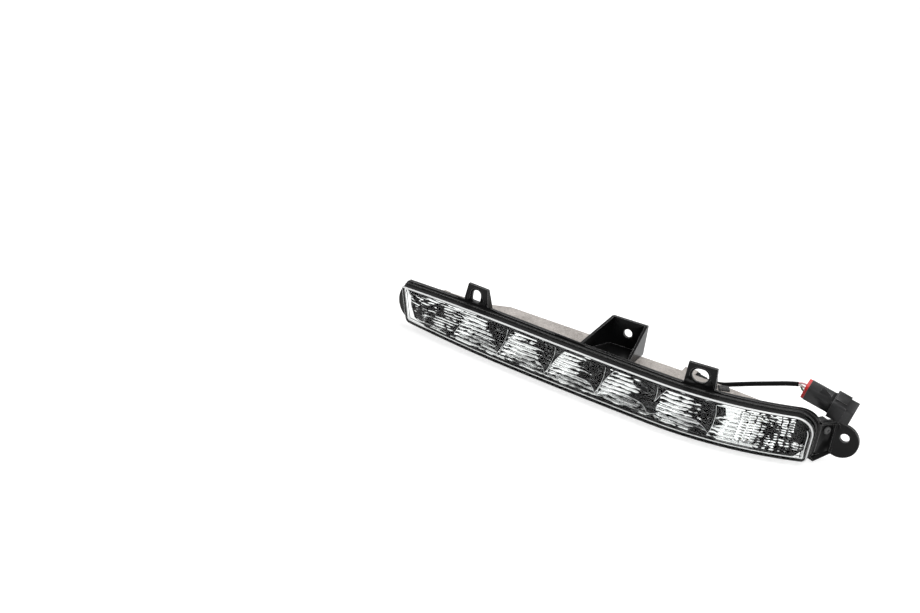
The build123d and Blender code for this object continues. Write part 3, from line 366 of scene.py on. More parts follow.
FINISHES: dict[str, Moulded | ClearPlastic | MirrorCoat] = {
    # The black plastics carry a painted highlight along their edges.
    "gloss_black": Moulded("gloss_black_plastic", (0.0022, 0.0022, 0.0024), (0.0050, 0.0048, 0.0048),
                           (0.20, 0.38), Relief.PEEL, 420.0, 4e-5, specular=0.16, edge=0.5 * MM,
                           edge_highlight_colour=grey(0.34)),
    "warm_grey": Moulded("warm_grey_plastic", (0.17, 0.152, 0.137), (0.57, 0.53, 0.50), (0.5, 0.7),
                         Relief.GRAIN, 800.0, 1.4e-4, specular=0.3, speckle=0.6),
    "plug_black": Moulded("plug_black_plastic", (0.016, 0.016, 0.017), (0.040, 0.040, 0.041), (0.38, 0.55),
                          Relief.GRAIN, 1900.0, 5e-5, specular=0.25, edge=0.4 * MM, edge_highlight_colour=grey(0.25)),
    "soft_black": Moulded("soft_black_rubber", grey(0.004), grey(0.009), (0.5, 0.75),
                          Relief.GRAIN, 2600.0, 3e-5, specular=0.2),
    "sheath": Moulded("cable_sheath", (0.0025, 0.0025, 0.003), grey(0.006), (0.4, 0.55),
                      Relief.BRUSHED, 1800.0, 2e-5, specular=0.18),
    "zinc": Moulded("zinc_steel", (0.45, 0.46, 0.46), (0.62, 0.62, 0.60), (0.25, 0.45), Relief.BRUSHED,
                    3000.0, 1e-5, metallic=1.0),
    "dull_steel": Moulded("dull_steel", grey(0.10), grey(0.17), (0.55, 0.7), Relief.BRUSHED,
                          2200.0, 2e-5, specular=0.3),
    # Light finish that paints a highlight on the bowls' rims and on one lens rib.
    "mirror_rim": Moulded("mirror_rim", grey(0.90), grey(0.98), (0.25, 0.35), Relief.PEEL,
                          600.0, 2e-5, metallic=0.4),
    "aluminium": Moulded("plain_aluminium", (0.66, 0.66, 0.67), grey(0.78), (0.3, 0.5),
                         Relief.BRUSHED, 2500.0, 1e-5, metallic=1.0),
    "mask_green": Moulded("solder_mask", (0.008, 0.09, 0.04), (0.012, 0.13, 0.06), (0.2, 0.35), Relief.PEEL,
                          600.0, 1e-5),
    "pad_blue": Moulded("thermal_pad", (0.30, 0.34, 0.42), (0.36, 0.40, 0.48), (0.7, 0.85)),
    "phosphor": Moulded("diode_phosphor", (0.72, 0.58, 0.12), (0.80, 0.66, 0.18), (0.12, 0.2), Relief.PEEL,
                        900.0, 5e-6),
    "seal_red": Moulded("red_silicone", (0.50, 0.004, 0.004), (0.66, 0.010, 0.008), (0.35, 0.5),
                        Relief.GRAIN, 1500.0, 3e-5),
    "wire_red": Moulded("pink_insulation", (0.62, 0.34, 0.36), (0.72, 0.42, 0.44), (0.3, 0.42)),
    "wire_white": Moulded("white_insulation", (0.74, 0.73, 0.71), (0.84, 0.83, 0.81), (0.3, 0.42)),
    "wire_green": Moulded("green_insulation", (0.10, 0.30, 0.18), (0.15, 0.38, 0.24), (0.3, 0.42)),
    "tin": Moulded("tinned_contact", (0.60, 0.58, 0.52), (0.72, 0.70, 0.64), (0.25, 0.35), Relief.BRUSHED,
                   2500.0, 1e-5, metallic=1.0),
    "lens": ClearPlastic(),
    # Light opaque finish that paints a highlight on the lens's bevel.
    "lens_border": Moulded("milky_lens_border", (0.72, 0.73, 0.73), (0.86, 0.87, 0.87), (0.2, 0.3),
                           Relief.PEEL, 900.0, 1e-5),
    # Black finish that paints shade on the lens's top flank and shade lines in its border.
    "painted_shade_black": Moulded("border_line", grey(0.004), grey(0.009), (0.5, 0.6), specular=0.1),
    "mirror": MirrorCoat(),
}

FINISHED_NODES: dict[str, str] = {
    "lens": "lens",
    "soft_black": "lens_seal cable_grommet supply_leads board_leads",
    "gloss_black": "carrier_frame end_bracket vent_cap",
    "warm_grey": "rear_housing",
    "zinc": "housing_screws reflector_screws board_screws driver_screws",
    "mirror": "reflector",
    "dull_steel": "end_bracket_screw",
    "mask_green": "led_board driver_board",
    "pad_blue": "thermal_pad",
    "aluminium": "heat_spreader driver_capacitors",
    "plug_black": "driver_inductor driver_chip connector_body connector_sleeve",
    "sheath": "cable",
    "wire_red": "wire_red",
    "wire_white": "wire_white",
    "wire_green": "wire_green",
    "seal_red": "connector_seal",
    "tin": "connector_terminals",
    "phosphor": "led_1 led_2 led_3 led_4 led_5 led_6",
}
NODE_FINISH = {node: key for key, nodes in FINISHED_NODES.items() for node in nodes.split()}


class Finisher:
    """Makes each finish once and hands it out."""

    def __init__(self) -> None:
        """Start with no material made."""
        self.made: dict[str, Material] = {}

    def get(self, key: str) -> Material:
        """Material of a finish, made on its first use."""
        if key not in self.made:
            self.made[key] = FINISHES[key].make()
        return self.made[key]

    def dress(self, thing: Object, key: str) -> None:
        """Give a piece one finish all over."""
        thing.data.materials.clear()
        thing.data.materials.append(self.get(key))


def add_piece(name: str, data: bpy.types.ID) -> Object:
    """Put a mesh, curve, lamp or camera in the scene at the origin."""
    made = bpy.data.objects.new(name, data)
    bpy.context.scene.collection.objects.link(made)
    return made


def bulk(items: bpy.types.bpy_prop_collection, name: str, width: int = 3) -> np.ndarray:
    """One value of each item, in rows when it has several numbers."""
    values = np.empty(len(items) * width)
    items.foreach_get(name, values)
    return values.reshape(-1, width) if width > 1 else values


def smooth_copy(node: str, name: str, sharp: float = CRISP) -> Object:
    """Merged copy of a CAD node with smooth curved faces and crisp edges.

    Args:
        node: The CAD node.
        name: Name of the new piece.
        sharp: Angle in degrees past which an edge stays crisp.

    Returns:
        The new piece, not yet dressed.
    """
    mesh = bpy.data.objects[node].data.copy()
    work = bmesh.new()
    work.from_mesh(mesh)
    bmesh.ops.remove_doubles(work, verts=work.verts, dist=2e-6)
    bmesh.ops.dissolve_degenerate(work, edges=work.edges, dist=1e-6)
    work.to_mesh(mesh)
    work.free()
    mesh.shade_smooth()
    mesh.set_sharp_from_angle(angle=math.radians(sharp))
    return add_piece(name, mesh)


def loose_parts(mesh: Mesh) -> list[set[int]]:
    """Vertices of each loose part of a mesh, in order along x."""
    work = bmesh.new()
    work.from_mesh(mesh)
    left = set(work.verts)
    found = []
    while left:
        waiting = [left.pop()]
        part = set(waiting)
        while waiting:
            for edge in waiting.pop().link_edges:
                for end in edge.verts:
                    if end in left:
                        left.remove(end)
                        part.add(end)
                        waiting.append(end)
        found.append({vertex.index for vertex in part})
    work.free()
    return sorted(found, key=lambda part: mesh.vertices[min(part)].co.x)


def drop_specks(mesh: Mesh, smallest: float) -> None:
    """Remove loose parts that are smaller than a size all ways."""
    places = bulk(mesh.vertices, "co")
    specks = {vertex for part in loose_parts(mesh)
              if np.ptp(places[list(part)], axis=0).max() < smallest for vertex in part}
    work = bmesh.new()
    work.from_mesh(mesh)
    bmesh.ops.delete(work, geom=[vertex for vertex in work.verts if vertex.index in specks],
                     context="VERTS")
    work.to_mesh(mesh)
    work.free()


@dataclass
class LampPlan:
    """Plan of the lens front: a long bow and a tighter wrap, in millimetres from the lens's middle."""

    bow_radius: float = 2760.0
    wrap_radius: float = 216.0
    wrap_start: float = 60.0
    wrap_direction: float = -3.95
    origin: Triple = (17.5, 48.25, 27.0)

    def centre(self, outboard: bool) -> Triple:
        """Centre and radius of the wrap or of the bow."""
        turn = math.radians(self.wrap_direction)
        radius = self.wrap_radius if outboard else self.bow_radius
        return (self.wrap_start - math.sin(turn) * radius, math.cos(turn) * radius, radius)

    def local(self, places: np.ndarray) -> np.ndarray:
        """Places in millimetres from the lens's middle, from places in metres."""
        return places / MM + np.array(self.origin)

    def depth_and_inward(self, places: np.ndarray) -> tuple[np.ndarray, np.ndarray]:
        """Depth behind the lens front, and the direction in which it grows.

        Args:
            places: Points in metres, one row each.

        Returns:
            Depths in millimetres, and unit plan vectors.
        """
        spot = self.local(places)
        depth = np.zeros(len(spot))
        inward = np.zeros((len(spot), 3))
        turn = math.radians(self.wrap_direction)
        ahead = (spot[:, 0] - self.wrap_start) * math.cos(turn) + spot[:, 1] * math.sin(turn)
        for outboard in (False, True):
            x, y, radius = self.centre(outboard)
            rows = (ahead > 0) == outboard
            offset = np.stack([x - spot[rows, 0], y - spot[rows, 1]], axis=1)
            reach = np.linalg.norm(offset, axis=1)
            depth[rows] = radius - reach
            inward[rows, :2] = offset / reach[:, None]
        return depth, inward

    def front(self, x: float, depth: float) -> float:
        """Y of the surface at a depth behind the lens front, at x."""
        centre_x, centre_y, radius = self.centre(x > self.wrap_start)
        return centre_y - math.sqrt((radius - depth) ** 2 - (x - centre_x) ** 2)


@dataclass(frozen=True)
class Bowl:
    """One bowl of the reflector: its x, focal length and vertex depth, in millimetres."""

    x: float
    focus: float
    depth: float


@dataclass
class MirrorReflector:
    """The mirror-coated reflector: its bowls get the true normals of their paraboloids.

    Attributes:
        foot_depth: Depth in millimetres behind the lens at which a bowl's x is read.
        aim: Degrees by which the bowls turn inboard.
        tolerance: Distance in millimetres within which a vertex lies on a paraboloid.
        first_bowl, last_bowl: X outside of which the coat has no painted bowl shade.
        outboard_ramp: X at which the painted outboard shade is nil, and the length in which it grows by 1.
    """

    finisher: Finisher
    plan: LampPlan
    foot_depth: float = 7.0
    aim: float = 12.0
    bowls: tuple[Bowl, ...] = (
        Bowl(-97.5, 7.5, 32.4), Bowl(-52.5, 7.5, 32.4), Bowl(-7.5, 7.5, 32.4), Bowl(37.5, 7.5, 32.4),
        Bowl(85.0, 8.6, 32.4), Bowl(136.0, 6.0, 25.4))
    axis_height: float = 6.2
    tolerance: float = 0.09
    agreement: float = 0.94
    first_bowl: float = -0.138
    last_bowl: float = 0.0925
    # Painted shade on the faces outside the bowls: where it goes, and how much.
    low_land: float = -36.0 * MM
    facing_front: float = -0.6
    plain_shade: float = 0.05
    land_shade: float = 0.75
    low_land_shade: float = 0.35
    inboard_shade: float = 0.40
    outboard_ramp: Pair = (0.118, 0.03)
    outboard_limits: Pair = (-0.35, 0.25)

    def build(self) -> Object:
        """Copy the CAD shell, set its normals and dress it.

        Returns:
            The reflector piece.
        """
        piece = smooth_copy("reflector", "reflector_mirror", 20.0)
        self.add_shade(piece.data, self.set_normals(piece.data))
        self.finisher.dress(piece, "mirror")
        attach(piece, BODY)
        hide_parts("reflector")
        return piece

    def set_normals(self, mesh: Mesh) -> np.ndarray:
        """Give the faces in the bowls their paraboloids' normals.

        Args:
            mesh: The reflector's mesh.

        Returns:
            Which faces lie in a bowl.
        """
        spots = self.plan.local(bulk(mesh.vertices, "co"))
        loops = bulk(mesh.loops, "vertex_index", 1).astype(int)
        normals = bulk(mesh.corner_normals, "vector")
        faces = np.repeat(np.arange(len(mesh.polygons)), [face.loop_total for face in mesh.polygons])
        face_normals = bulk(mesh.polygons, "normal")[faces]
        corners = np.bincount(faces, minlength=len(mesh.polygons))
        back = np.array([math.sin(math.radians(self.aim)), math.cos(math.radians(self.aim)), 0.0])
        in_bowl = np.zeros(len(mesh.polygons), bool)
        for bowl in self.bowls:
            vertex = np.array([bowl.x, self.plan.front(bowl.x, self.foot_depth), self.axis_height])
            vertex = vertex + back * (bowl.depth - self.foot_depth)
            ahead = -(spots - vertex) @ back
            radial = (spots - vertex) + ahead[:, None] * back
            reach = np.linalg.norm(radial, axis=1)
            slope = np.sqrt(4 * reach ** 2 + 16 * bowl.focus ** 2)
            miss = np.abs(reach ** 2 - 4 * bowl.focus * ahead) / slope
            true_normal = -(2 * radial + 4 * bowl.focus * back) / slope[:, None]
            near = miss[loops] < self.tolerance
            agree = np.einsum("ij,ij->i", true_normal[loops], face_normals) > self.agreement
            hits = np.bincount(faces[near & agree], minlength=len(mesh.polygons))
            whole = hits[faces] == corners[faces]
            normals[whole] = true_normal[loops][whole]
            in_bowl[faces[whole]] = True
        mesh.normals_split_custom_set(normals.tolist())
        return in_bowl

    def add_shade(self, mesh: Mesh, in_bowl: np.ndarray) -> None:
        """Mark each face with its bowl, and how much painted shade the coat gets on the faces outside the
        bowls.

        Args:
            mesh: The reflector's mesh.
            in_bowl: Which faces lie in a bowl.
        """
        middles, facing = bulk(mesh.polygons, "center"), bulk(mesh.polygons, "normal")
        x = middles[:, 0]
        bowl_x = (np.array([bowl.x for bowl in self.bowls]) - self.plan.origin[0]) * MM
        nearest = bowl_x[np.argmin(np.abs(x[:, None] - bowl_x), axis=1)]
        # Painted shade: front-facing lands between the bowls go dark, low lands less, the inboard end and
        # the outboard ramp by their own shares.
        between = (facing[:, 1] < self.facing_front) & (x > bowl_x[0]) & (x < bowl_x[-1])
        plain = np.where(between, self.land_shade, self.plain_shade)
        plain = np.where(between & (middles[:, 2] < self.low_land), self.low_land_shade, plain)
        plain = np.where(x < self.first_bowl, self.inboard_shade, plain)
        start, length = self.outboard_ramp
        outboard = np.clip((x - start) / length, *self.outboard_limits)
        plain = np.where(x > self.last_bowl, outboard, plain)
        inside = in_bowl & (x < self.last_bowl)
        depth, _ = self.plan.depth_and_inward(bulk(mesh.vertices, "co"))
        for name, domain, values in (("bowl_centre", "FACE", nearest), ("plain_shade", "FACE", plain),
                                     ("in_bowl", "FACE", inside), ("depth", "POINT", depth * MM)):
            mesh.attributes.new(name, "FLOAT", domain).data.foreach_set(
                "value", values.astype(np.float32))


@dataclass
class Mouldings:
    """Plastic and metal pieces whose shape is the CAD's, with their curved faces made smooth.

    Attributes:
        bevel: Depth in millimetres to which the lens's bevel goes.
        bevel_tilt: Range of a bevel face's agreement with the lens front.
        top_lean: Least upward share of the normal on the lens's top flank, painted black as shade.
    """

    finisher: Finisher
    plan: LampPlan
    bevel: float = 1.05
    bevel_tilt: Pair = (0.2, 0.92)
    top_lean: float = 0.4
    smooth: tuple[str, ...] = (
        "lens", "lens_seal", "carrier_frame", "rear_housing", "end_bracket", "vent_cap", "cable_grommet",
        "connector_body", "connector_sleeve", "connector_seal", "end_bracket_screw", "reflector_screws",
        "board_screws", "driver_screws", "driver_inductor", "driver_capacitors",
        "supply_leads", "board_leads")

    def build(self) -> list[Object]:
        """Copy, smooth and dress each piece.

        Returns:
            The new pieces.
        """
        pieces = []
        for node in self.smooth:
            piece = smooth_copy(node, f"{node}_finished")
            self.finisher.dress(piece, NODE_FINISH[node])
            if node == "lens":
                self.mark_border(piece)
            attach(piece, BODY)
            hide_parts(node)
            pieces.append(piece)
        return pieces

    def mark_border(self, piece: Object) -> None:
        """Paint a highlight on the lens's bevel with light opaque plastic, and paint its top flank black as
        shade.

        Args:
            piece: The lens.
        """
        for key in ("lens_border", "painted_shade_black"):
            piece.data.materials.append(self.finisher.get(key))
        middles, normals = (bulk(piece.data.polygons, name) for name in ("center", "normal"))
        depth, inward = self.plan.depth_and_inward(middles)
        tilt = -np.einsum("ij,ij->i", normals, inward)
        steepest, flattest = self.bevel_tilt
        bevel = (depth < self.bevel) & (tilt < flattest) & (tilt > steepest)
        outer = np.einsum("ij,ij->i", normals, middles - middles.mean(axis=0)) > 0
        top = outer & (np.abs(tilt) < steepest) & (normals[:, 2] > self.top_lean)
        # Material 1 paints a highlight on the bevel, material 2 paints shade on the top flank.
        piece.data.polygons.foreach_set("material_index", (bevel + 2 * (top & ~bevel)).astype(np.int32))


class NodeTree(Tree):
    """Builder for a Geometry Nodes tree that ends in realised, dressed geometry."""

    def __init__(self, name: str) -> None:
        """Start a tree with one geometry input.

        Args:
            name: Name of the tree.
        """
        super().__init__(bpy.data.node_groups.new(name, "GeometryNodeTree"))
        self.sockets: dict[str, str] = {}
        self.add_input("Geometry", "NodeSocketGeometry")
        self.tree.interface.new_socket(name="Geometry", in_out="OUTPUT", socket_type="NodeSocketGeometry")
        self.entry = self.node("NodeGroupInput")

    def add_input(self, name: str, kind: str) -> None:
        """Add a named input."""
        self.sockets[name] = self.tree.interface.new_socket(name=name, in_out="INPUT",
                                                            socket_type=kind).identifier

    def given(self, name: str) -> NodeSocket:
        """Socket that carries a named input."""
        return next(out for out in self.entry.outputs if out.identifier == self.sockets[name])

    def end(self, geometry: NodeSocket) -> None:
        """Realise the instances, set the material and link the output."""
        real = self.node("GeometryNodeRealizeInstances", {"Geometry": geometry})
        dressed = self.node("GeometryNodeSetMaterial", {"Geometry": real.outputs[0],
                                                        "Material": self.given("Material")})
        self.node("NodeGroupOutput", {0: dressed.outputs[0]})

    def run(self, name: str, seed_mesh: Mesh, values: dict[str, object]) -> Object:
        """Run the tree on a mesh and keep the result as a plain mesh.

        Args:
            name: Name of the new piece.
            seed_mesh: Mesh that the tree starts from.
            values: Values of the named inputs.

        Returns:
            The new piece.
        """
        carrier = add_piece(f"{name}_source", seed_mesh)
        modifier = carrier.modifiers.new("nodes", "NODES")
        modifier.node_group = self.tree
        for key, value in values.items():
            modifier[self.sockets[key]] = value
        carrier.update_tag()
        bpy.context.view_layer.update()
        ready = carrier.evaluated_get(bpy.context.evaluated_depsgraph_get())
        mesh = bpy.data.meshes.new_from_object(ready)
        carrier.modifiers.remove(modifier)
        bpy.data.objects.remove(carrier)
        return add_piece(name, mesh)


@dataclass
class EdgeBeads:
    """Fine rounded beads: the rims of the reflector's bowls, light as a painted highlight, and the ribs in
    the lens's border, painted as shade lines and one highlight line.

    Attributes:
        ribs: Name, finish, shift from the lens's edge and radius of each rib, in millimetres.
        under: Depth in millimetres of the ribs under the lens front.
        shortest: Least length of a run of edges that gets a bead.
        smallest: Size under which a loose bit of bead is dropped.
    """

    finisher: Finisher
    rim_radius: float = 0.22 * MM
    spacing: float = 1.2 * MM
    # Black ribs are painted shade lines; the light rib is a painted highlight.
    ribs: tuple[tuple[str, str, float, float], ...] = (
        ("lens_outline", "painted_shade_black", 0.0, 0.34), ("lens_inner_line", "painted_shade_black", 1.5, 0.34),
        ("lens_light_rib", "mirror_rim", 2.7, 0.36), ("lens_deep_line", "painted_shade_black", 4.5, 0.30))
    under: float = 0.4
    shortest: float = 15.0 * MM
    smallest: float = 1.5 * MM
    front_match: float = 0.9
    top_lean: float = 0.5

    def build(self, reflector: Object, lens: Object, plan: LampPlan) -> int:
        """Lay the beads.

        Args:
            reflector: The finished reflector, its faces marked as in a bowl or not.
            lens: The finished lens, its bevel in the second material.
            plan: Plan of the lens front.

        Returns:
            The number of new pieces.
        """
        tree = self.grow()
        in_bowl = bulk(reflector.data.attributes["in_bowl"].data, "value", 1) > 0.5
        bevel = bulk(lens.data.polygons, "material_index", 1) == 1
        # The bowls' rims get a light finish that paints their highlight.
        rows = [("reflector_rims", "mirror_rim", self.rim_radius, self.border(reflector.data, in_bowl))]
        for name, finish, shift, radius in self.ribs:
            rows.append((name, finish, radius * MM, self.border(lens.data, bevel, (plan, shift))))
        for name, finish, radius, edges in rows:
            piece = tree.run(name, edges, {"Radius": radius, "Spacing": self.spacing,
                                           "Material": self.finisher.get(finish)})
            drop_specks(piece.data, self.smallest)
            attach(piece, BODY)
        return len(rows)

    def border(self, mesh: Mesh, chosen: np.ndarray,
               offset: tuple[LampPlan, float] | None = None) -> Mesh:
        """Edges between chosen faces and the others.

        Args:
            mesh: Mesh whose faces are told apart.
            chosen: Which faces are chosen.
            offset: Lens plan and distance in millimetres by which the lens front's own edges move inward.

        Returns:
            A mesh of those edges alone, without the lens's top ones when they are moved.
        """
        sides: dict[tuple[int, int], list[bpy.types.MeshPolygon]] = {}
        for face in mesh.polygons:
            for key in face.edge_keys:
                sides.setdefault(key, []).append(face)
        edges = {}
        for key, pair in sides.items():
            if len(pair) == 2 and chosen[pair[0].index] != chosen[pair[1].index]:
                edges[key] = pair if chosen[pair[0].index] else pair[::-1]
        spots = {end: np.array(mesh.vertices[end].co) for key in edges for end in key}
        if offset is not None:
            edges = self.move_inward(edges, spots, *offset)
        edges = self.long_runs(edges, spots)
        used = sorted({end for key in edges for end in key})
        order = {vertex: place for place, vertex in enumerate(used)}
        made = bpy.data.meshes.new("bead_edges")
        made.from_pydata([tuple(spots[vertex]) for vertex in used],
                         [(order[a], order[b]) for a, b in edges], [])
        return made

    def move_inward(self, edges: dict, spots: dict[int, np.ndarray], plan: LampPlan,
                    shift: float) -> dict:
        """Move the places of a border inward under the lens front.

        Args:
            edges: The face in the border and the one beside it, for each edge.
            spots: Place of each vertex, which is moved.
            plan: Plan of the lens front.
            shift: Distance in millimetres.

        Returns:
            The edges on the lens front, without the top ones.
        """
        outward = {end: np.zeros(3) for end in spots}
        for key, (inner, _) in edges.items():
            for end in key:
                outward[end] += np.array(inner.normal)
        _, rows = plan.depth_and_inward(np.array(list(spots.values())))
        inward = dict(zip(spots, rows))
        front = {end for key, (_, other) in edges.items() for end in key
                 if -np.dot(np.array(other.normal), inward[key[0]]) > self.front_match}
        for end, along in inward.items():
            side = outward[end] - along * np.dot(outward[end], along)
            outward[end] = side / np.linalg.norm(side)
            spots[end] = spots[end] - outward[end] * shift * MM + along * self.under * MM
        return {key: pair for key, pair in edges.items() if front.issuperset(key)
                and max(outward[key[0]][2], outward[key[1]][2]) < self.top_lean}

    def long_runs(self, edges: dict, spots: dict[int, np.ndarray]) -> dict:
        """Leave out joined runs of edges that are too short for a bead."""
        group = {end: end for key in edges for end in key}

        def root(end: int) -> int:
            while group[end] != end:
                group[end] = group[group[end]]
                end = group[end]
            return end

        for a, b in edges:
            group[root(a)] = root(b)
        length: dict[int, float] = {}
        for a, b in edges:
            length[root(a)] = length.get(root(a), 0.0) + float(np.linalg.norm(spots[a] - spots[b]))
        return {key: pair for key, pair in edges.items() if length[root(key[0])] > self.shortest}

    @staticmethod
    def grow() -> NodeTree:
        """Tree that sweeps a round profile along the edges of a mesh."""
        tree = NodeTree("bead_on_edges")
        for name, kind in (("Radius", "Float"), ("Spacing", "Float"), ("Material", "Material")):
            tree.add_input(name, f"NodeSocket{kind}")
        path = tree.node("GeometryNodeMeshToCurve", {"Mesh": tree.given("Geometry")})
        even = tree.node("GeometryNodeResampleCurve", {
            "Curve": path.outputs[0], "Length": tree.given("Spacing")}, mode="LENGTH")
        ring = tree.node("GeometryNodeCurvePrimitiveCircle", {
            "Resolution": 8, "Radius": tree.given("Radius")})
        tube = tree.node("GeometryNodeCurveToMesh", {
            "Curve": even.outputs[0], "Profile Curve": ring.outputs[0], "Fill Caps": True})
        tree.end(tube.outputs[0])
        return tree


@dataclass
class ScrewRow:
    """The rear housing's screws: one screw instanced on the row's points, each turned its own way."""

    finisher: Finisher
    node: str = "housing_screws"
    seed: int = 7

    def build(self) -> Object:
        """Instance the screws where the CAD has them.

        Returns:
            The new piece.
        """
        whole = smooth_copy(self.node, "screw_source")
        islands = loose_parts(whole.data)
        spots = bulk(whole.data.vertices, "co")
        places = [self.place(spots[list(island)]) for island in islands]
        single = self.single(whole.data, islands[0], *places[0])
        points = bpy.data.meshes.new("screw_points")
        points.from_pydata([centre for centre, _ in places], [], [])
        points.attributes.new("axis", "FLOAT_VECTOR", "POINT").data.foreach_set(
            "vector", np.array([axis for _, axis in places], np.float32).ravel())
        piece = self.grow().run("housing_screw_row", points, {
            "Screw": single, "Turn": math.tau, "Seed": self.seed, "Material": self.finisher.get("zinc")})
        for spare in (whole, single):
            bpy.data.objects.remove(spare)
        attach(piece, BODY)
        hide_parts(self.node)
        return piece

    @staticmethod
    def place(spots: np.ndarray) -> tuple[np.ndarray, np.ndarray]:
        """Middle and axis of one screw, the axis toward the lamp's back."""
        centre = (spots.min(axis=0) + spots.max(axis=0)) / 2
        axis = np.linalg.svd(spots - spots.mean(axis=0), full_matrices=False)[2]
        longest = axis[np.argmax(np.ptp((spots - centre) @ axis.T, axis=0))]
        along = (spots - centre) @ longest
        middle = centre + longest * (along.max() + along.min()) / 2
        return middle, longest * np.sign(longest[1])

    @staticmethod
    def single(mesh: Mesh, island: set[int], middle: np.ndarray, axis: np.ndarray) -> Object:
        """One screw alone, at the origin and along z.

        Args:
            mesh: Mesh of all the screws.
            island: Vertices of the screw.
            middle: Its middle.
            axis: Its axis.

        Returns:
            The screw.
        """
        turn = Vector(axis).rotation_difference(Vector((0.0, 0.0, 1.0))).to_matrix()
        keep = sorted(island)
        order = {vertex: place for place, vertex in enumerate(keep)}
        made = bpy.data.meshes.new("one_screw")
        made.from_pydata([tuple(turn @ (mesh.vertices[vertex].co - Vector(middle))) for vertex in keep],
                         [], [[order[vertex] for vertex in face.vertices] for face in mesh.polygons
                              if face.vertices[0] in order])
        made.shade_smooth()
        made.set_sharp_from_angle(angle=math.radians(CRISP))
        return add_piece("one_screw", made)

    @staticmethod
    def grow() -> NodeTree:
        """Tree that instances a screw on points along their own axes."""
        tree = NodeTree("screws_on_points")
        for name, kind in (("Screw", "Object"), ("Turn", "Float"), ("Seed", "Int"),
                           ("Material", "Material")):
            tree.add_input(name, f"NodeSocket{kind}")
        screw = tree.node("GeometryNodeObjectInfo", {"Object": tree.given("Screw")})
        axis = tree.node("GeometryNodeInputNamedAttribute", {"Name": "axis"}, data_type="FLOAT_VECTOR")
        aligned = tree.node("FunctionNodeAlignRotationToVector", {"Vector": axis.outputs[0]}, axis="Z")
        angle = tree.node("FunctionNodeRandomValue", {3: tree.given("Turn"), "Seed": tree.given("Seed")},
                          data_type="FLOAT")
        spin = tree.node("FunctionNodeAxisAngleToRotation", {
            "Axis": (0.0, 0.0, 1.0), "Angle": angle.outputs[1]})
        turned = tree.node("FunctionNodeRotateRotation", {
            "Rotation": aligned.outputs[0], "Rotate By": spin.outputs[0]}, rotation_space="LOCAL")
        row = tree.node("GeometryNodeInstanceOnPoints", {
            "Points": tree.given("Geometry"), "Instance": screw.outputs["Geometry"],
            "Rotation": turned.outputs[0]})
        tree.end(row.outputs[0])
        return tree


@dataclass
class CableRun:
    """The sheathed cable from the strain relief to the plug's tails.

    Attributes:
        route: Control points of its spline, in millimetres from the lens's middle.
    """

    finisher: Finisher
    plan: LampPlan
    diameter: float = 3.6 * MM
    length: float = 71.6 * MM
    route: tuple[Triple, ...] = (
        (85.4, 49.6, 8.2), (95.6, 49.6, 8.2), (106.5, 49.2, 12.7), (121.5, 48.3, 18.9),
        (136.0, 47.9, 24.3), (146.5, 48.3, 28.0), (153.2, 49.4, 29.3))
    tails: tuple[str, ...] = ("wire_red", "wire_white", "wire_green")

    def build(self) -> Object:
        """Lay the cable's spline, and dress the tails.

        Returns:
            The cable.
        """
        points = [tuple((value - start) * MM for value, start in zip(point, self.plan.origin))
                  for point in self.route]
        curve = bpy.data.curves.new("supply_cable", "CURVE")
        curve.dimensions = "3D"
        curve.bevel_depth = self.diameter / 2
        curve.bevel_resolution = 8
        curve.resolution_u = 16
        curve.use_fill_caps = True
        spline = curve.splines.new("NURBS")
        spline.points.add(len(points) - 1)
        for point, place in zip(spline.points, points):
            point.co = (*place, 1.0)
        spline.order_u = 3
        spline.use_endpoint_u = True
        cable = add_piece("supply_cable", curve)
        curve.materials.append(self.finisher.get("sheath"))
        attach(cable, BODY)
        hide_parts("cable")
        for node in self.tails:
            tail = smooth_copy(node, f"{node}_tail", 40.0)
            self.finisher.dress(tail, NODE_FINISH[node])
            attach(tail, BODY)
            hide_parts(node)
        return cable


@dataclass(frozen=True)
class SoftLamp:
    """Rectangular lamp aimed at the origin: sizes in metres, power in watts."""

    name: str
    place: Triple
    size: Pair
    power: float


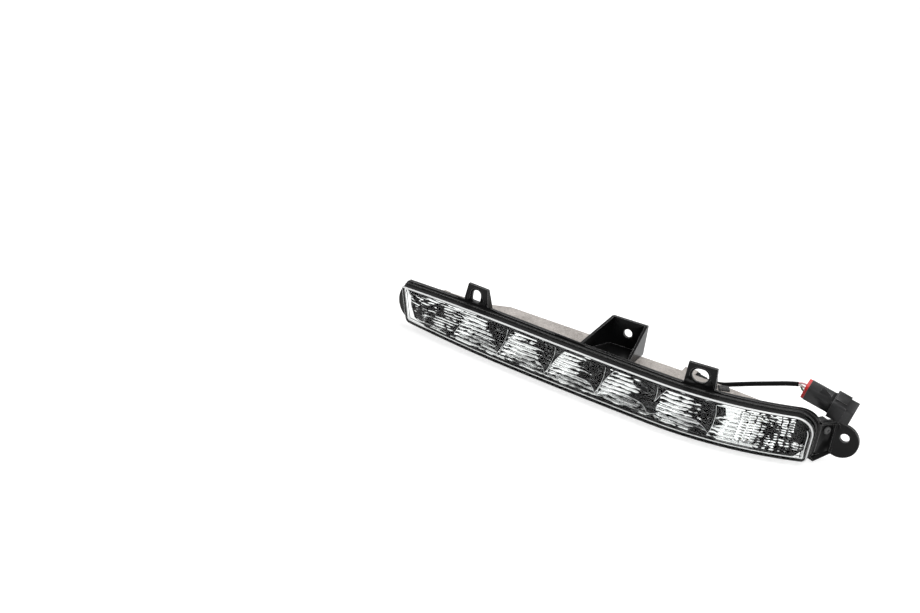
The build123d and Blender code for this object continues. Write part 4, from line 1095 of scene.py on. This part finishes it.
@dataclass
class Studio:
    """Camera at the photograph's angle, pale floor, soft lamps and a white surround.

    Attributes:
        clearance: Gap in metres between the lamp and the floor.
        room: Strength of the surround in reflections toward -Y and toward +Y.
        horizon: Half width of the change between the two.
        fill: Strength of the surround's diffuse light.
    """

    eye: Triple = (0.2734, -0.90785, 0.4062)
    azimuth: float = 24.854
    elevation: float = 23.262
    roll: float = 7.915
    lens: float = 51.12
    clearance: float = 0.0004
    floor_half: float = 6.0
    floor_grey: float = 0.50
    floor_glow: float = 0.74
    lamps: tuple[SoftLamp, ...] = (
        SoftLamp("overhead", (0.15, 0.45, 1.25), (1.4, 0.8), 13.0),
        SoftLamp("front_right", (0.75, -0.55, 1.05), (0.5, 0.9), 5.0),
        SoftLamp("left_strip", (-1.3, -0.7, 0.35), (0.3, 1.1), 3.5))
    room: Pair = (0.08, 0.85)
    horizon: float = 0.12
    fill: float = 0.55

    def build(self) -> None:
        """Make the whole studio."""
        self.add_camera()
        self.add_floor()
        self.add_lamps()
        self.add_world()

    def add_camera(self) -> None:
        """Camera from its fitted place and angles."""
        a, e, r = (math.radians(value) for value in (self.azimuth, self.elevation, self.roll))
        right = Vector((math.cos(a), math.sin(a), 0.0))
        up = Vector((-math.sin(a) * math.sin(e), math.cos(a) * math.sin(e), math.cos(e)))
        back = Vector((math.sin(a) * math.cos(e), -math.cos(a) * math.cos(e), math.sin(e)))
        turned_right = right * math.cos(r) + up * math.sin(r)
        turned_up = up * math.cos(r) - right * math.sin(r)
        data = bpy.data.cameras.new("camera")
        data.lens = self.lens
        data.sensor_width = 36.0
        data.clip_start = 0.01
        data.clip_end = 50.0
        camera = add_piece("camera", data)
        camera.matrix_world = Matrix((turned_right, turned_up, back)).transposed().to_4x4()
        camera.location = self.eye
        bpy.context.scene.camera = camera

    def add_floor(self) -> None:
        """Wide pale floor just under the lamp, which keeps a soft shadow."""
        low, half = cad_box[0][2] - self.clearance, self.floor_half
        mesh = bpy.data.meshes.new("floor")
        mesh.from_pydata([(-half, -half, low), (half, -half, low), (half, half, low), (-half, half, low)],
                         [], [(0, 1, 2, 3)])
        floor = add_piece("floor", mesh)
        graph = Graph(bpy.data.materials.new("pale_floor"))
        path = graph.node("ShaderNodeLightPath")
        seen = graph.math("MAXIMUM", path.outputs["Is Camera Ray"],
                          graph.math("MAXIMUM", path.outputs["Is Glossy Ray"],
                                     path.outputs["Is Transmission Ray"]))
        diffuse = graph.node("ShaderNodeBsdfDiffuse", {"Color": (*grey(self.floor_grey), 1.0)})
        glow = graph.node("ShaderNodeEmission", {
            "Color": (1, 1, 1, 1), "Strength": graph.math("MULTIPLY", seen, self.floor_glow)})
        both = graph.node("ShaderNodeAddShader", {0: diffuse.outputs[0], 1: glow.outputs[0]})
        mesh.materials.append(graph.finish(both.outputs[0]))

    def add_lamps(self) -> None:
        """Soft lamps: a wide one overhead, one at the front right and a strip at the left."""
        for soft in self.lamps:
            data = bpy.data.lights.new(soft.name, "AREA")
            data.shape = "RECTANGLE"
            data.size, data.size_y = soft.size
            data.energy = soft.power
            lamp = add_piece(soft.name, data)
            lamp.location = soft.place
            lamp.rotation_euler = (-Vector(soft.place)).to_track_quat("-Z", "Y").to_euler()

    def add_world(self) -> None:
        """White surround for what is seen directly, and a dim room side for soft light."""
        graph = Graph(bpy.data.worlds.new("surround"), "ShaderNodeOutputWorld")
        path = graph.node("ShaderNodeLightPath")
        toward = graph.node("ShaderNodeTexCoord").outputs["Generated"]
        split = graph.node("ShaderNodeSeparateXYZ", {"Vector": toward})
        room = graph.level(split.outputs["Y"], *self.room, span=(-self.horizon, self.horizon))
        glossy = graph.math("MULTIPLY", path.outputs["Is Glossy Ray"], room)
        direct = graph.math("MAXIMUM", path.outputs["Is Camera Ray"], path.outputs["Is Transmission Ray"])
        plain = graph.math("MULTIPLY", graph.math("SUBTRACT", 1.0, path.outputs["Is Glossy Ray"]),
                           self.fill)
        strength = graph.math("MAXIMUM", direct, graph.math("ADD", glossy, plain))
        surround = graph.node("ShaderNodeBackground", {"Color": (1, 1, 1, 1), "Strength": strength})
        bpy.context.scene.world = graph.finish(surround.outputs[0])


def main() -> None:
    """Build the studio and dress the lamp."""
    logging.basicConfig(level=logging.INFO, format="%(name)s: %(message)s")
    bpy.context.scene.view_settings.view_transform = "Standard"
    finisher = Finisher()
    plan = LampPlan()
    Studio().build()
    for node, key in NODE_FINISH.items():
        finisher.dress(bpy.data.objects[node], key)
    reflector = MirrorReflector(finisher, plan).build()
    log.info("mouldings %d", len(Mouldings(finisher, plan).build()))
    lens = bpy.data.objects["lens_finished"]
    log.info("beads %d", EdgeBeads(finisher).build(reflector, lens, plan))
    log.info("screws %s", ScrewRow(finisher).build().name)
    log.info("cable %s", CableRun(finisher, plan).build().name)


if __name__ == "__main__":
    main()
